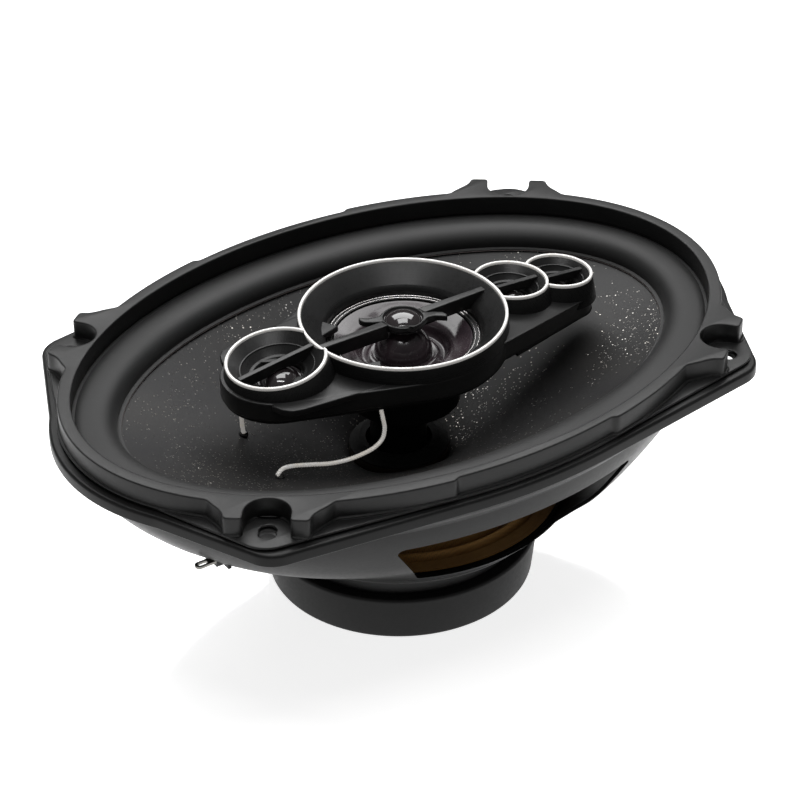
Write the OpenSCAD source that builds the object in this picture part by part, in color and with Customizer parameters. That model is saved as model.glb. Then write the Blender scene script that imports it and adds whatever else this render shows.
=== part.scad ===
// Oval 6 x 9 inch coaxial car speaker, standing on its magnet.
// +X is the long axis, +Y the short axis, +Z the front; the origin is the centre of the magnet's back.

/* [Flange and basket] */
// Half length of the steel flange
flange_a = 115.5; // [114:0.5:117]
// Half width of the steel flange
flange_b = 80; // [79:0.1:81]
// Height of the flange's front face above the magnet's back
flange_z = 78.4; // [78.2:0.1:78.6]
// Depth of the turned-down skirt
skirt_h = 4; // [3.6:0.1:5]
// Sheet thickness of the basket
sheet = 1.2; // [1:0.1:1.4]
// Distance of the screw holes from the centre along X
hole_x = 83.4; // [83:0.1:84]
// Distance of the screw holes from the centre along Y
hole_y = 58.6; // [58:0.1:59]
// Radius of the screw holes in the steel
hole_r = 2.5; // [2:0.1:2.7]
// Radius of the flange's ears round the screw holes
ear_r = 10.2; // [9.8:0.1:10.8]
// Radius of the basket's floor
floor_r = 48.8; // [48:0.2:49]
// Height of the basket's floor
floor_z = 25; // [25:0.5:25.5]

/* [Plastic rim] */
// Half length of the rim's opening
rim_a = 108; // [107.8:0.1:108.2]
// Half width of the rim's opening
rim_b = 73.7; // [73.5:0.1:73.9]
// Width of the rim's top at the ends of the long axis
rim_wall_x = 4.1; // [3.6:0.1:4.6]
// Width of the rim's top at the middle of the long sides
rim_wall_y = 4.4; // [4:0.1:4.8]
// Height of the rim's top above the magnet's back
rim_z = 86; // [85.5:0.5:86.5]
// Thickness of the rim's low flange
lip_t = 0.9; // [0.8:0.1:1.2]

/* [Woofer] */
// Half length of the cone
cone_a = 95.2; // [94.6:0.1:95.6]
// Half width of the cone
cone_b = 59.4; // [59:0.1:59.8]
// Height of the cone's edge
cone_edge_z = 74.4; // [74:0.1:74.6]
// Height of the cone's neck
cone_neck_z = 43; // [42:0.5:44]
// Outer radius of the coil former
former_r = 15.8; // [15.7:0.05:15.85]
// Height of the surround's crest
surround_z = 80; // [79.6:0.1:81]

/* [Motor] */
// Outer radius of the ferrite magnet
magnet_r = 40; // [38:0.5:40]
// Thickness of the ferrite magnet
magnet_h = 13.8; // [13.4:0.1:13.8]
// Height of the rubber boot
boot_h = 16; // [12:0.5:18]

/* [Bridge] */
// Radius of the main trim ring
main_r = 32.2; // [31.5:0.1:32.6]
// Distance of the main cup from the centre along X
main_x = 2.2; // [1.5:0.1:2.5]
// Height of the main trim ring
main_z = 93.4; // [93:0.1:94]
// Radius of the can behind the midrange
can_r = 17.8; // [17:0.1:18.5]
// Radius of the post under the bridge
post_r = 9; // [7:0.5:9.5]

/* [Hidden] */
$fn = 96;
oval_n = 72;       // corners of an oval outline
far = 200;         // reach of a cutting block
eps = 0.01;

// Small cups: [x, z of the trim ring, ring radius, tilt about Y, depth to the throat, dome radius]
left_cup = [-44, 93.4, 15.3, -6.8, 5.2, 6.4];
inner_cup = [43, 91.2, 11.6, 4.1, 4.2, 4.9];
outer_cup = [61.6, 88.2, 10.6, 5.5, 4.0, 4.5];
small_cups = [left_cup, inner_cup, outer_cup];

// Basket
skirt_z = flange_z - skirt_h;
shelf_a = 110.8;
shelf_b = 76.8;
flange_ear = [hole_x - 1.2, hole_y + 0.8];
flank_sink = 0.03;  // how far a flank's end lies inside its ear's circle
shelf_w = 6;
ledge_z = 31;
ledge_in = 48.4;
ledge_out = 52.9;
window_low_z = 33;
long_low = 26;
long_top = 42.5;
long_top_z = 58.5;
end_low = 20;
end_top = 30;
end_top_z = 53;
floor_hole_r = 17.4;
bowl = [[floor_r, floor_r, 26.4], [54.4, 54, 31.5], [68, 59.2, 38], [84, 64.6, 45],
    [96, 69, 54], [105, 73, 64], [109.8, 75.9, 74], [shelf_a, shelf_b, flange_z - 0.9]];
// Section of the wedge between the bowl and the skirt
flare = [[106.6, 74, 68], [111.6, flange_b - 0.6, skirt_z], [111.6, flange_b - 0.6, flange_z - 1],
    [110, 76, flange_z - 1]];
tab_x = -81.1;      // outer face of the terminal bracket
tab_y = [-30.4, -4.9];
tab_z = [47.9, 54.5];
board_t = 2.4;
board_y = [-27.6, -5.7];
board_z = [48.2, 52.9];
blade_z = 50.1;
blade_t = 0.8;
blade_len = 6.5;
wide_w = 4.8;
narrow_w = 2.8;
rivet_ys = [-22.3, -15.5];
rivet_shank_r = 1;

// Plastic rim
rim_ao = rim_a + rim_wall_x;
rim_bo = rim_b + rim_wall_y;
lip_z = flange_z + 0.3;
lip_ear_r = 10;
lip_ear = [82.3, 56.7];
seat_a = 110.3;     // the foot of the surround lies inside this oval, under the rim
seat_b = 76.3;
wall_z = lip_z + lip_t - 0.1;
step_x = 29;
step_in = 1.3;
corner_turn = 52.4;
pocket_r = 6.9;
pocket_in = 1.1;
slot_r = 2.6;
slot_reach = 1;

// Motor
back_z = 1.2;
back_h = 5;
magnet_z = back_z + back_h;
top_z = magnet_z + magnet_h;
top_h = floor_z - top_z;
pole_r = 15.2;
gap_r = 16.9;
bolt_r = 2.5;
rivet_ring_r = 28;
rivet_r = 2;

// Woofer
neck_r = former_r;
former_t = 0.3;
coil_r = 16.5;
coil_low = 18.5;
coil_h = 8;
former_low = 17;
former_h = 29;
cone_t = 0.8;
cone_steps = 9;
cone_power = 0.75;
surround_t = 0.7;
roll_steps = 11;
roll_in = [cone_a - 0.6, cone_b - 0.6, cone_edge_z];
roll_out = [107.2, 72.9, flange_z + 0.2];
foot_in = [cone_a - 1.6, cone_b - 1.6, cone_edge_z];
foot_out = [109.8, 75.8, flange_z + 0.2];
spider_in = former_r;
spider_out = 52;
spider_z = 33.4;
spider_t = 0.5;
rolls = 7;
roll_h = 1.3;

// Bridge
deck_z = 88;
tub_z = 81.7;
cover_z = 80.5;
wall = 1.7;
main_wall_r = main_r + 0.8;
throat_r = 25.4;
throat_z = 88.1;
seat_r = 24.4;
seat_z = 84.2;
wing_x = 27;
wing_tilt = 8.5;
visor = [[-20, 24.5], [-47.5, 21.6], [-50.8, 20.6], [-53.2, 18.2], [-54.6, 14.5], [-40, 5], [-14, 12]];
can_z = 63;
trim_w = 1;
trim_h = 1.0;
hub_r = 6.7;
hub_top_z = 91.9;
hub_h = 2;
arm_w = 2.6;
arm_h = 5;
mid_edge_z = 85;
mid_dome_r = 8.8;
mid_dome_z = 79;
center_dome_r = 6;
bar_w = 1.6;
bar_h = 3.6;
bar_drop = 1.1;
bar_gap = 0.5;
dome_sink = 2.6;
dome_rise = 0.55;

// Leads: points on each route, millimetres
lead_r = 0.55;
front_route = [[-22.5, -25, 80.3], [-22.3, -25.6, 77.5], [-22, -26, 74], [-22.8, -26, 70.5],
    [-25.5, -25.6, 68], [-29.5, -24.6, 66.4], [-34, -23.2, 65.3], [-39, -21.2, 64.8], [-44, -18.8, 65],
    [-48.5, -17.4, 65.6], [-52, -17.2, 66.2], [-53.8, -17.6, 66.3], [-55, -17.8, 65.7],
    [-55.4, -17.6, 64.9]];
rear_route = [[-58.4, -2.8, 80.3], [-58, -1.8, 78.4], [-57, -0.2, 76], [-55.4, 2.6, 72.4], [-53.2, 6.2, 68.2],
    [-51.2, 9.6, 64.6], [-50, 11.4, 62.4]];
glue_spots = [[-54.4, -17.1, 63.4], [-49.6, 12.2, 60.9]];
glue_r = 1.2;
coil_route = [[-79.8, -17.9, 49.9], [-76, -17.9, 48.2], [-71.6, -17.8, 47.2], [-65, -17, 47.2],
    [-57, -14.8, 49], [-50, -12.8, 51.4], [-45, -11.4, 53.6], [-42, -10.6, 54.6]];

// ---- outlines ----
function oval_points(a, b) =
    [for (i = [0:oval_n - 1]) [a * cos(i * 360 / oval_n), b * sin(i * 360 / oval_n)]];
function unit(v) = v / norm(v);
// Where the line from p touches the circle round c, on its left (side 1) or right (side -1)
function touch_point(p, c, r, side) =
    let (d = norm(p - c), u = (p - c) / d, t = side * acos(r / d))
    c + r * [u[0] * cos(t) - u[1] * sin(t), u[0] * sin(t) + u[1] * cos(t)];

module oval(a, b) { polygon(oval_points(a, b)); }

module four_ways() {
    for (sx = [0, 1], sy = [0, 1])
        mirror([sx, 0]) mirror([0, sy]) children();
}

// Oval plate with four rounded ears, of radius r round c, that meet the oval in straight flanks
module eared_oval(a, b, r, c) {
    side_point = [a * 0.19, b * 0.982];
    end_point = [a * 0.982, b * 0.19];
    oval(a, b);
    four_ways() {
        translate(c) circle(r);
        polygon([[0, 0], end_point, touch_point(end_point, c, r - flank_sink, 1), c,
            touch_point(side_point, c, r - flank_sink, -1), side_point]);
    }
}

module flange_outline(inset = 0) {
    eared_oval(flange_a - inset, flange_b - inset, ear_r - inset, flange_ear);
}

// The pair of lugs at one corner, in a frame whose X points out through the screw hole
module lug_block() {
    polygon([[-16, -19.5], [-7.6, -18.4], [-4.4, -16.6], [-2, -14.2], [1.4, -12.8],
        [1.4, 12.8], [-2, 14.2], [-4.4, 16.6], [-7.6, 18.4], [-16, 19.5]]);
}

module pocket() {
    translate([-pocket_in, 0]) circle(pocket_r);
    translate([-pocket_in, -pocket_r]) square([20, 2 * pocket_r]);
}

module slot() {
    for (s = [-1, 1]) translate([s * slot_reach, 0]) circle(slot_r);
    translate([-slot_reach, -slot_r]) square([2 * slot_reach, 2 * slot_r]);
}

module at_corners() { four_ways() translate([hole_x, hole_y]) rotate(corner_turn) children(); }

// ---- lofted shells ----
// Solid ring swept round the speaker's axis; a point of its closed section is [half length, half width, z]
module oval_loft(section) {
    m = len(section);
    n = oval_n;
    points = [for (s = section, i = [0:n - 1]) [s[0] * cos(i * 360 / n), s[1] * sin(i * 360 / n), s[2]]];
    faces = [for (j = [0:m - 1], i = [0:n - 1])
        let (k = (j + 1) % m, l = (i + 1) % n)
        each [[j * n + i, k * n + i, k * n + l], [j * n + i, k * n + l, j * n + l]]];
    polyhedron(points, faces);
}

function reversed(list) = [for (i = [len(list) - 1:-1:0]) list[i]];

// Tube swept along a route of points
module tube(route, r, sides = 8) {
    n = len(route);
    rings = [for (i = [0:n - 1])
        let (d = unit(route[min(i + 1, n - 1)] - route[max(i - 1, 0)]),
             u = unit(cross(d, [0.2, 0.9, 0.3])), v = cross(d, u))
        [for (k = [0:sides - 1]) route[i] + r * (u * cos(k * 360 / sides) + v * sin(k * 360 / sides))]];
    points = [for (ring = rings) each ring];
    sides_faces = [for (i = [0:n - 2], k = [0:sides - 1])
        let (l = (k + 1) % sides)
        each [[i * sides + k, (i + 1) * sides + l, (i + 1) * sides + k],
              [i * sides + k, i * sides + l, (i + 1) * sides + l]]];
    polyhedron(points, concat(sides_faces, [[for (k = [sides - 1:-1:0]) k]],
        [[for (k = [0:sides - 1]) (n - 1) * sides + k]]));
}

module ring(r_in, r_out, z, h) {
    translate([0, 0, z]) difference() {
        cylinder(h = h, r = r_out);
        translate([0, 0, -1]) cylinder(h = h + 2, r = r_in);
    }
}

// Radius of the ball whose cap has base radius r and height h
function cap_ball(r, h) = (r * r + h * h) / (2 * h);

// Spherical shell cap of base radius r and height h, thickness t, base at z = 0
module dome_shell(r, h, t) {
    ball = cap_ball(r, h);
    intersection() {
        translate([0, 0, h - ball]) difference() {
            sphere(ball);
            sphere(ball - t);
        }
        cylinder(h = h + 1, r = r + 1);
    }
}

module place(cup) { translate([cup[0], 0, cup[1]]) rotate([0, cup[3], 0]) children(); }

// ---- basket ----
module window_cut(low, top, top_z, turn) {
    for (s = [0, 180])
        rotate([0, 0, turn + s]) translate([0, -30, 0]) rotate([90, 0, 0])
            linear_extrude(far) polygon([[-low, window_low_z], [low, window_low_z],
                [top, top_z], [-top, top_z]]);
}

module bowl_shell() {
    inner = [for (p = reversed(bowl)) [p[0] - sheet, p[1] - sheet, p[2] + 0.3]];
    oval_loft(concat(bowl, [[shelf_a, shelf_b, flange_z - 0.6]], inner));
}

module basket() {
    color("dimgray") difference() {
        union() {
            translate([0, 0, flange_z - sheet]) linear_extrude(sheet) difference() {
                flange_outline();
                oval(shelf_a - shelf_w, shelf_b - shelf_w);
            }
            translate([0, 0, skirt_z]) linear_extrude(skirt_h) difference() {
                flange_outline();
                flange_outline(sheet);
            }
            oval_loft(flare);
            difference() {
                bowl_shell();
                window_cut(long_low, long_top, long_top_z, 0);
                window_cut(end_low, end_top, end_top_z, 90);
            }
            ring(ledge_in, ledge_out, ledge_z, sheet);
            translate([0, 0, floor_z]) cylinder(h = sheet, r = floor_r - 1);
            ring(floor_r - 2.2, floor_r - 0.2, floor_z, 2.2);
            translate([tab_x, tab_y[0], tab_z[0]]) cube([sheet, tab_y[1] - tab_y[0], tab_z[1] - tab_z[0]]);
            translate([0, 0, tab_z[1] - sheet]) linear_extrude(sheet) intersection() {
                oval(95.3, 68.4);
                translate([-far, tab_y[0]]) square([far + tab_x + sheet, tab_y[1] - tab_y[0]]);
            }
        }
        translate([0, 0, floor_z - 1]) cylinder(h = 5, r = floor_hole_r);
        for (t = [45:90:315])
            rotate(t) translate([rivet_ring_r, 0, floor_z - 1]) cylinder(h = 5, r = rivet_r, $fn = 48);
        four_ways_solid() translate([hole_x, hole_y, skirt_z]) cylinder(h = 8, r = hole_r, $fn = 48);
        for (y = rivet_ys)
            translate([tab_x - 1, y, blade_z]) rotate([0, 90, 0])
                cylinder(h = 4, r = rivet_shank_r, $fn = 32);
    }
}

module four_ways_solid() {
    for (sx = [0, 1], sy = [0, 1])
        mirror([sx, 0, 0]) mirror([0, sy, 0]) children();
}

// ---- plastic rim ----
module rim_outline() {
    difference() {
        union() {
            difference() {
                oval(rim_ao, rim_bo);
                difference() {
                    square([2 * step_x, far], center = true);
                    oval(rim_ao - step_in, rim_bo - step_in);
                }
            }
            at_corners() lug_block();
        }
        at_corners() pocket();
        oval(rim_a, rim_b);
    }
}

module gasket_rim() {
    color("#3a3a3c") {
        difference() {
            union() {
                translate([0, 0, wall_z]) linear_extrude(rim_z - wall_z) rim_outline();
                translate([0, 0, lip_z]) linear_extrude(lip_t) difference() {
                    eared_oval(rim_ao, rim_bo, lip_ear_r, lip_ear);
                    oval(seat_a, seat_b);
                }
                translate([0, 0, flange_z]) linear_extrude(1) difference() {
                    oval(rim_ao, rim_bo);
                    oval(seat_a, seat_b);
                }
            }
            translate([0, 0, flange_z - 1]) linear_extrude(lip_t + 2) at_corners() slot();
        }
    }
}

// ---- motor ----
module yoke() {
    color("silver") difference() {
        union() {
            translate([0, 0, back_z]) cylinder(h = back_h, r = magnet_r - 1.5);
            translate([0, 0, back_z]) cylinder(h = floor_z - back_z, r = pole_r);
        }
        translate([0, 0, -1]) cylinder(h = 40, r = bolt_r + 0.1, $fn = 48);
        translate([0, 0, -1]) cylinder(h = 6.2, r = 5.6, $fn = 48);
    }
}

module magnet() { color("#2c2c2e") ring(20, magnet_r, magnet_z, magnet_h); }

module top_plate() {
    color("silver") difference() {
        ring(gap_r, magnet_r - 1.5, top_z, top_h);
        for (t = [45:90:315])
            rotate(t) translate([rivet_ring_r, 0, top_z + 1]) cylinder(h = 6, r = rivet_r, $fn = 48);
    }
}

module magnet_boot() {
    color("#2a2a2c") rotate_extrude() polygon([[30, 0], [41.2, 0], [42.2, 1], [43, boot_h - 0.8],
        [42.2, boot_h], [magnet_r, boot_h], [magnet_r, back_z], [30, back_z]]);
}

module plate_rivets() {
    color("silver") for (t = [45:90:315]) rotate(t) translate([rivet_ring_r, 0, 0]) {
        translate([0, 0, top_z + 1]) cylinder(h = floor_z + sheet - top_z - 1, r = rivet_r, $fn = 48);
        translate([0, 0, floor_z + sheet]) intersection() {
            translate([0, 0, -2]) sphere(4, $fn = 48);
            cylinder(h = 3, r = 3.5, $fn = 48);
        }
    }
}

// ---- terminals ----
module terminal_board() {
    color("#141414") difference() {
        translate([tab_x - board_t, board_y[0], board_z[0]])
            cube([board_t, board_y[1] - board_y[0], board_z[1] - board_z[0]]);
        for (y = rivet_ys)
            translate([tab_x - 4, y, blade_z]) rotate([0, 90, 0])
                cylinder(h = 6, r = rivet_shank_r, $fn = 32);
    }
}

// Round-ended blade with a long eye, its root on the board's outer face
module blade(y, w) {
    root_x = tab_x - board_t;
    end_x = root_x - blade_len + w / 2;
    color("gainsboro") translate([0, y, blade_z - blade_t / 2]) difference() {
        union() {
            translate([end_x, -w / 2, 0]) cube([root_x - end_x, w, blade_t]);
            translate([end_x, 0, 0]) cylinder(h = blade_t, r = w / 2, $fn = 48);
        }
        for (dx = [0.2, 2])
            translate([end_x + dx, 0, -1]) cylinder(h = 3, r = w / 4, $fn = 32);
        translate([end_x + 0.2, -w / 4, -1]) cube([1.8, w / 2, 3]);
    }
}

module wide_terminal() { blade(board_y[1] - 0.6 - wide_w / 2, wide_w); }
module narrow_terminal() { blade(board_y[0] + narrow_w / 2, narrow_w); }

module terminal_rivets() {
    color("silver") for (y = rivet_ys) translate([tab_x, y, blade_z]) rotate([0, 90, 0]) {
        translate([0, 0, -board_t]) cylinder(h = board_t + sheet, r = rivet_shank_r, $fn = 32);
        translate([0, 0, -board_t - 0.6]) cylinder(h = 0.6, r = 1.9, $fn = 32);
        translate([0, 0, sheet]) cylinder(h = 0.6, r = 1.7, $fn = 32);
    }
}

module coil_leads() {
    color("#b9a27c") {
        tube(coil_route, lead_r);
        translate([0, -8, 0]) tube(coil_route, lead_r);
    }
}

// ---- post and cans ----
module bridge_post() {
    color("#1d1d1f") difference() {
        union() {
            translate([0, 0, floor_z]) cylinder(h = can_z - floor_z, r = post_r);
            translate([0, 0, can_z - 3]) cylinder(h = 3, r1 = post_r, r2 = post_r + 3);
        }
        translate([0, 0, floor_z - 1]) cylinder(h = 16, r = bolt_r, $fn = 48);
    }
}

module post_bolt() {
    color("silver") {
        translate([0, 0, 2]) cylinder(h = 36, r = bolt_r, $fn = 48);
        translate([0, 0, 1.6]) cylinder(h = 3.6, r = 5, $fn = 6);
    }
}

module mid_housing() {
    color("#1b1b1d") translate([main_x, 0, can_z]) difference() {
        cylinder(h = cover_z - can_z, r = can_r);
        translate([0, 0, 1.8]) cylinder(h = 40, r = can_r - 1.6);
    }
}

// ---- bridge ----
// Hull of two circles on the X axis, made from its tangents
module capsule(x1, r1, x2, r2) {
    s = (r1 - r2) / (x2 - x1);
    c = sqrt(1 - s * s);
    translate([x1, 0]) circle(r1);
    translate([x2, 0]) circle(r2);
    polygon([[x1 + r1 * s, r1 * c], [x2 + r2 * s, r2 * c], [x2 + r2 * s, -r2 * c], [x1 + r1 * s, -r1 * c]]);
}

module tub_outline(inset) { capsule(left_cup[0], 17.3 - inset, main_x, main_wall_r - inset); }
module wing_outline(inset) { capsule(main_x, main_wall_r - inset, outer_cup[0], 11.8 - inset); }
module tilt_wing() {
    translate([wing_x, 0, deck_z]) rotate([0, wing_tilt, 0]) translate([-wing_x, 0, -deck_z]) children();
}

module right_of(x) {
    intersection() {
        children();
        translate([x, -far / 2, 0]) cube([far, far, far]);
    }
}

module cup_outside(cup) {
    place(cup) translate([0, 0, -8])
        cylinder(h = 8 - trim_h / 2, r1 = cup[2] + 2.4, r2 = cup[2] + trim_w / 2);
}

// The space above a small cup's wall, where its trim ring lies
module above_cup(cup) {
    place(cup) translate([0, 0, -trim_h / 2]) cylinder(h = 9, r = cup[2] + trim_w / 2 + 0.05);
}

// What is given here ends at the main cup's wall
module beside_main() {
    difference() {
        children();
        translate([main_x, 0, tub_z - 12]) cylinder(h = 30, r = main_wall_r + 0.05);
    }
}

// What is given here ends at the inner cup's wall
module beside_inner() {
    difference() {
        children();
        cup_outside(inner_cup);
        above_cup(inner_cup);
    }
}

module cup_inside(cup) {
    place(cup) {
        translate([0, 0, -cup[4]]) cylinder(h = cup[4], r1 = cup[5] + 2.6, r2 = cup[2] - trim_w / 2);
        translate([0, 0, -cup[4] - 1.4]) cylinder(h = cup[4], r = cup[5] + 1.6);
        translate([0, 0, -cup[4] - 10]) cylinder(h = 12, r = cup[5] + 1.2);
    }
}

module main_inside() {
    translate([main_x, 0, throat_z])
        cylinder(h = main_z - throat_z, r1 = throat_r, r2 = main_r - trim_w / 2);
    translate([main_x, 0, seat_z]) cylinder(h = 10, r = seat_r);
    translate([main_x, 0, tub_z - 1]) cylinder(h = 10, r = 22);
}

module bridge_body() {
    color("#38383b") difference() {
        union() {
            translate([0, 0, tub_z]) linear_extrude(deck_z - tub_z) tub_outline(0);
            translate([0, 0, deck_z - 2]) linear_extrude(2) for (m = [0, 1]) mirror([0, m]) polygon(visor);
            tilt_wing() right_of(16) translate([0, 0, tub_z])
                linear_extrude(deck_z - tub_z) wing_outline(0);
            translate([main_x, 0, tub_z]) cylinder(h = main_z - tub_z - trim_h / 2, r = main_wall_r);
            for (cup = small_cups) cup_outside(cup);
        }
        translate([0, 0, tub_z - 2]) linear_extrude(deck_z - tub_z - wall + 2) difference() {
            tub_outline(wall);
            translate([main_x, 0]) circle(main_wall_r - 5);
        }
        tilt_wing() right_of(main_x + main_wall_r + 0.4) translate([0, 0, tub_z - 2])
            linear_extrude(deck_z - tub_z - wall + 2) wing_outline(wall);
        main_inside();
        translate([main_x, 0, main_z - trim_h / 2]) cylinder(h = 9, r = main_wall_r + 0.05);
        beside_main() for (cup = [left_cup, inner_cup]) {
            cup_inside(cup);
            above_cup(cup);
        }
        beside_inner() {
            cup_inside(outer_cup);
            above_cup(outer_cup);
        }
        translate([0, 0, tub_z - 8]) linear_extrude(8) tub_outline(-3);
    }
}

module bridge_cover() {
    color("#232325") difference() {
        union() {
            translate([0, 0, cover_z]) linear_extrude(tub_z - cover_z) tub_outline(0.8);
            tilt_wing() right_of(30) translate([0, 0, cover_z])
                linear_extrude(tub_z - cover_z) wing_outline(0.8);
        }
        translate([main_x, 0, cover_z - eps])
            cylinder(h = tub_z - cover_z + 2 * eps, r1 = can_r - 1.4, r2 = can_r + 1.7);
    }
}

module trim(r) {
    color("white") rotate_extrude() translate([r, 0]) {
        translate([-trim_w / 2, -trim_h / 2]) square([trim_w, trim_h / 2 + eps]);
        intersection() {
            circle(trim_w / 2);
            translate([-trim_w, 0]) square([2 * trim_w, trim_w]);
        }
    }
}

module main_trim() { translate([main_x, 0, main_z]) trim(main_r); }
module left_trim() { beside_main() place(left_cup) trim(left_cup[2]); }
module inner_trim() { beside_main() place(inner_cup) trim(inner_cup[2]); }
module outer_trim() { beside_inner() place(outer_cup) trim(outer_cup[2]); }

module center_hub() {
    color("#333336") difference() {
        union() {
            translate([main_x, 0, hub_top_z - hub_h]) cylinder(h = hub_h, r1 = hub_r + 0.4, r2 = hub_r);
            intersection() {
                translate([main_x - 40, -arm_w / 2, hub_top_z - arm_h]) cube([80, arm_w, arm_h]);
                union() {
                    translate([main_x, 0, throat_z])
                        cylinder(h = main_z - throat_z, r1 = throat_r, r2 = main_r - trim_w / 2);
                    translate([main_x, 0, seat_z]) cylinder(h = 10, r = seat_r);
                }
            }
        }
        translate([main_x, 0, hub_top_z - 10]) cylinder(h = 10 - hub_h, r = mid_dome_r + 0.8);
        translate([main_x, 0, hub_top_z - 1.2]) cylinder(h = 5, r = center_dome_r + 0.3);
        translate([main_x, 0, hub_top_z - 1.6]) cylinder(h = 5, r = center_dome_r - 0.6);
    }
}

module center_magnet() {
    color("silver") translate([main_x, 0, hub_top_z - 1.6]) cylinder(h = 0.5, r = center_dome_r - 0.9);
}

module guard_bar(cup) {
    ball = cap_ball(cup[5], dome_rise * cup[5]);
    color("#2c2c2f") intersection() {
        place(cup) difference() {
            translate([-20, -bar_w / 2, -bar_h - bar_drop]) cube([40, bar_w, bar_h]);
            translate([0, 0, -cup[4] - dome_sink + dome_rise * cup[5] - ball])
                sphere(ball + bar_gap);
        }
        place(cup) translate([0, 0, -cup[4]])
            cylinder(h = cup[4], r1 = cup[5] + 2.6, r2 = cup[2] - trim_w / 2);
    }
}

module left_bar() { beside_main() guard_bar(left_cup); }
module inner_bar() { beside_main() guard_bar(inner_cup); }
module outer_bar() { beside_inner() guard_bar(outer_cup); }

module tweeter_magnets() {
    color("silver") for (cup = small_cups)
        place(cup) translate([0, 0, -cup[4] - 5.4]) cylinder(h = 2.2, r = cup[5] + 1.2);
}

module crossover_capacitors() {
    color("steelblue") for (y = [-20.5, 12.5]) translate([-28, y, 84.3]) rotate([-90, 0, 0])
        cylinder(h = 8, r = 1.7, $fn = 48);
}

// ---- midrange ----
module mid_yoke() {
    color("silver") translate([main_x, 0, can_z + 1.8]) difference() {
        cylinder(h = 8, r = 12);
        translate([0, 0, 1.6]) cylinder(h = 10, r = 10.6);
    }
}

module mid_magnet() { color("#303032") translate([main_x, 0, can_z + 3.4]) cylinder(h = 6.2, r = 8); }

module mid_ring() { color("white") translate([main_x, 0, 0]) ring(22, seat_r, seat_z + 0.5, 0.7); }

module mid_diaphragm() {
    color("#101012") translate([main_x, 0, 0]) rotate_extrude() difference() {
        union() {
            intersection() {
                translate([0, mid_dome_z]) circle(mid_dome_r);
                translate([0, mid_dome_z]) square([mid_dome_r, mid_dome_r]);
            }
            translate([mid_dome_r - 0.6, mid_dome_z - 0.6]) square([2.4, 0.6]);
            polygon([[10, mid_dome_z - 0.6], [12.6, mid_dome_z - 1.8], [14.2, mid_dome_z - 1],
                [15.4, mid_dome_z + 1.9], [21.4, mid_edge_z - 1.2], [21.4, mid_edge_z - 0.6],
                [15, mid_dome_z + 2.5], [13.6, mid_dome_z - 0.4], [12.6, mid_dome_z - 1.1],
                [10.6, mid_dome_z]]);
        }
        translate([0, mid_dome_z]) circle(mid_dome_r - 0.5);
    }
}

module mid_coil() {
    color("#a5673a") translate([main_x, 0, 0]) ring(8.9, 9.6, can_z + 7.4, mid_dome_z - 0.6 - can_z - 7.4);
}

// ---- tweeter domes ----
module center_dome() {
    color("#1a1413") translate([main_x, 0, hub_top_z - 1]) dome_shell(center_dome_r - 0.1, 2.4, 0.4);
}

module small_dome(cup) {
    place(cup) translate([0, 0, -cup[4] - dome_sink]) dome_shell(cup[5], dome_rise * cup[5], 0.4);
}
module left_dome() { color("#141416") small_dome(left_cup); }
module inner_dome() { color("#141416") small_dome(inner_cup); }
module outer_dome() { color("#141416") small_dome(outer_cup); }

// ---- woofer ----
function cone_point(t) = [neck_r + (cone_a - neck_r) * t, neck_r + (cone_b - neck_r) * t,
    cone_neck_z + (cone_edge_z - cone_neck_z) * pow(t, cone_power)];

module cone() {
    front = [for (i = [0:cone_steps]) cone_point(pow(i / cone_steps, 1.2))];
    back = [for (p = reversed(front)) p - [0, 0, cone_t]];
    color("#262628") oval_loft(concat(back, front));
}

// A point on the half roll: up from the inner foot to the crest, then down to the outer foot
function roll_point(q) =
    let (base = roll_in + (roll_out - roll_in) * (1 - cos(180 * q)) / 2,
         foot = q < 0.5 ? roll_in[2] : roll_out[2])
    [base[0], base[1], foot + (surround_z - foot) * pow(sin(180 * q), 0.9)];

module surround() {
    top = concat([foot_in + [0, 0, surround_t]],
        [for (i = [0:roll_steps]) roll_point(i / roll_steps) + [0, 0, surround_t / 2 + 0.1]],
        [foot_out + [0, 0, surround_t]]);
    low = concat([foot_out],
        [for (i = [roll_steps:-1:0]) let (p = roll_point(i / roll_steps), k = 1 - 2 * i / roll_steps)
            p - [-surround_t * k, -surround_t * k, i == 0 || i == roll_steps ? 0 : surround_t / 2]],
        [foot_in]);
    color("#303032") oval_loft(concat(reversed(top), reversed(low)));
}

module spider() {
    waves = [for (i = [0:rolls * 8]) let (q = i / (rolls * 8))
        [20 + (spider_out - 24) * q, spider_z + roll_h * sin(q * 360 * rolls)]];
    upper = concat([[spider_in, spider_z + 1.6], [17.4, spider_z + 0.4]], waves,
        [[spider_out, spider_z - 0.4]]);
    color("#7a4a1c") rotate_extrude() polygon(concat(upper, [for (p = reversed(upper)) p - [0, spider_t]]));
}

module coil_former() { color("#8a5a2c") ring(former_r - former_t, former_r, former_low, former_h); }
module voice_coil() { color("#b8683a") ring(former_r, coil_r, coil_low, coil_h); }

module dust_shield() {
    color("#202022") rotate_extrude() polygon([[10.6, 48.4], [12.6, 49], [former_r, 46.6], [former_r, 46],
        [12.6, 48.4], [10.6, 47.8]]);
}

module lead_glue() {
    color("#0c0c0c") for (p = glue_spots) translate(p) sphere(glue_r, $fn = 32);
}

module front_lead() { color("silver") tube(front_route, lead_r); }
module rear_lead() { color("silver") tube(rear_route, lead_r); }

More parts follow.
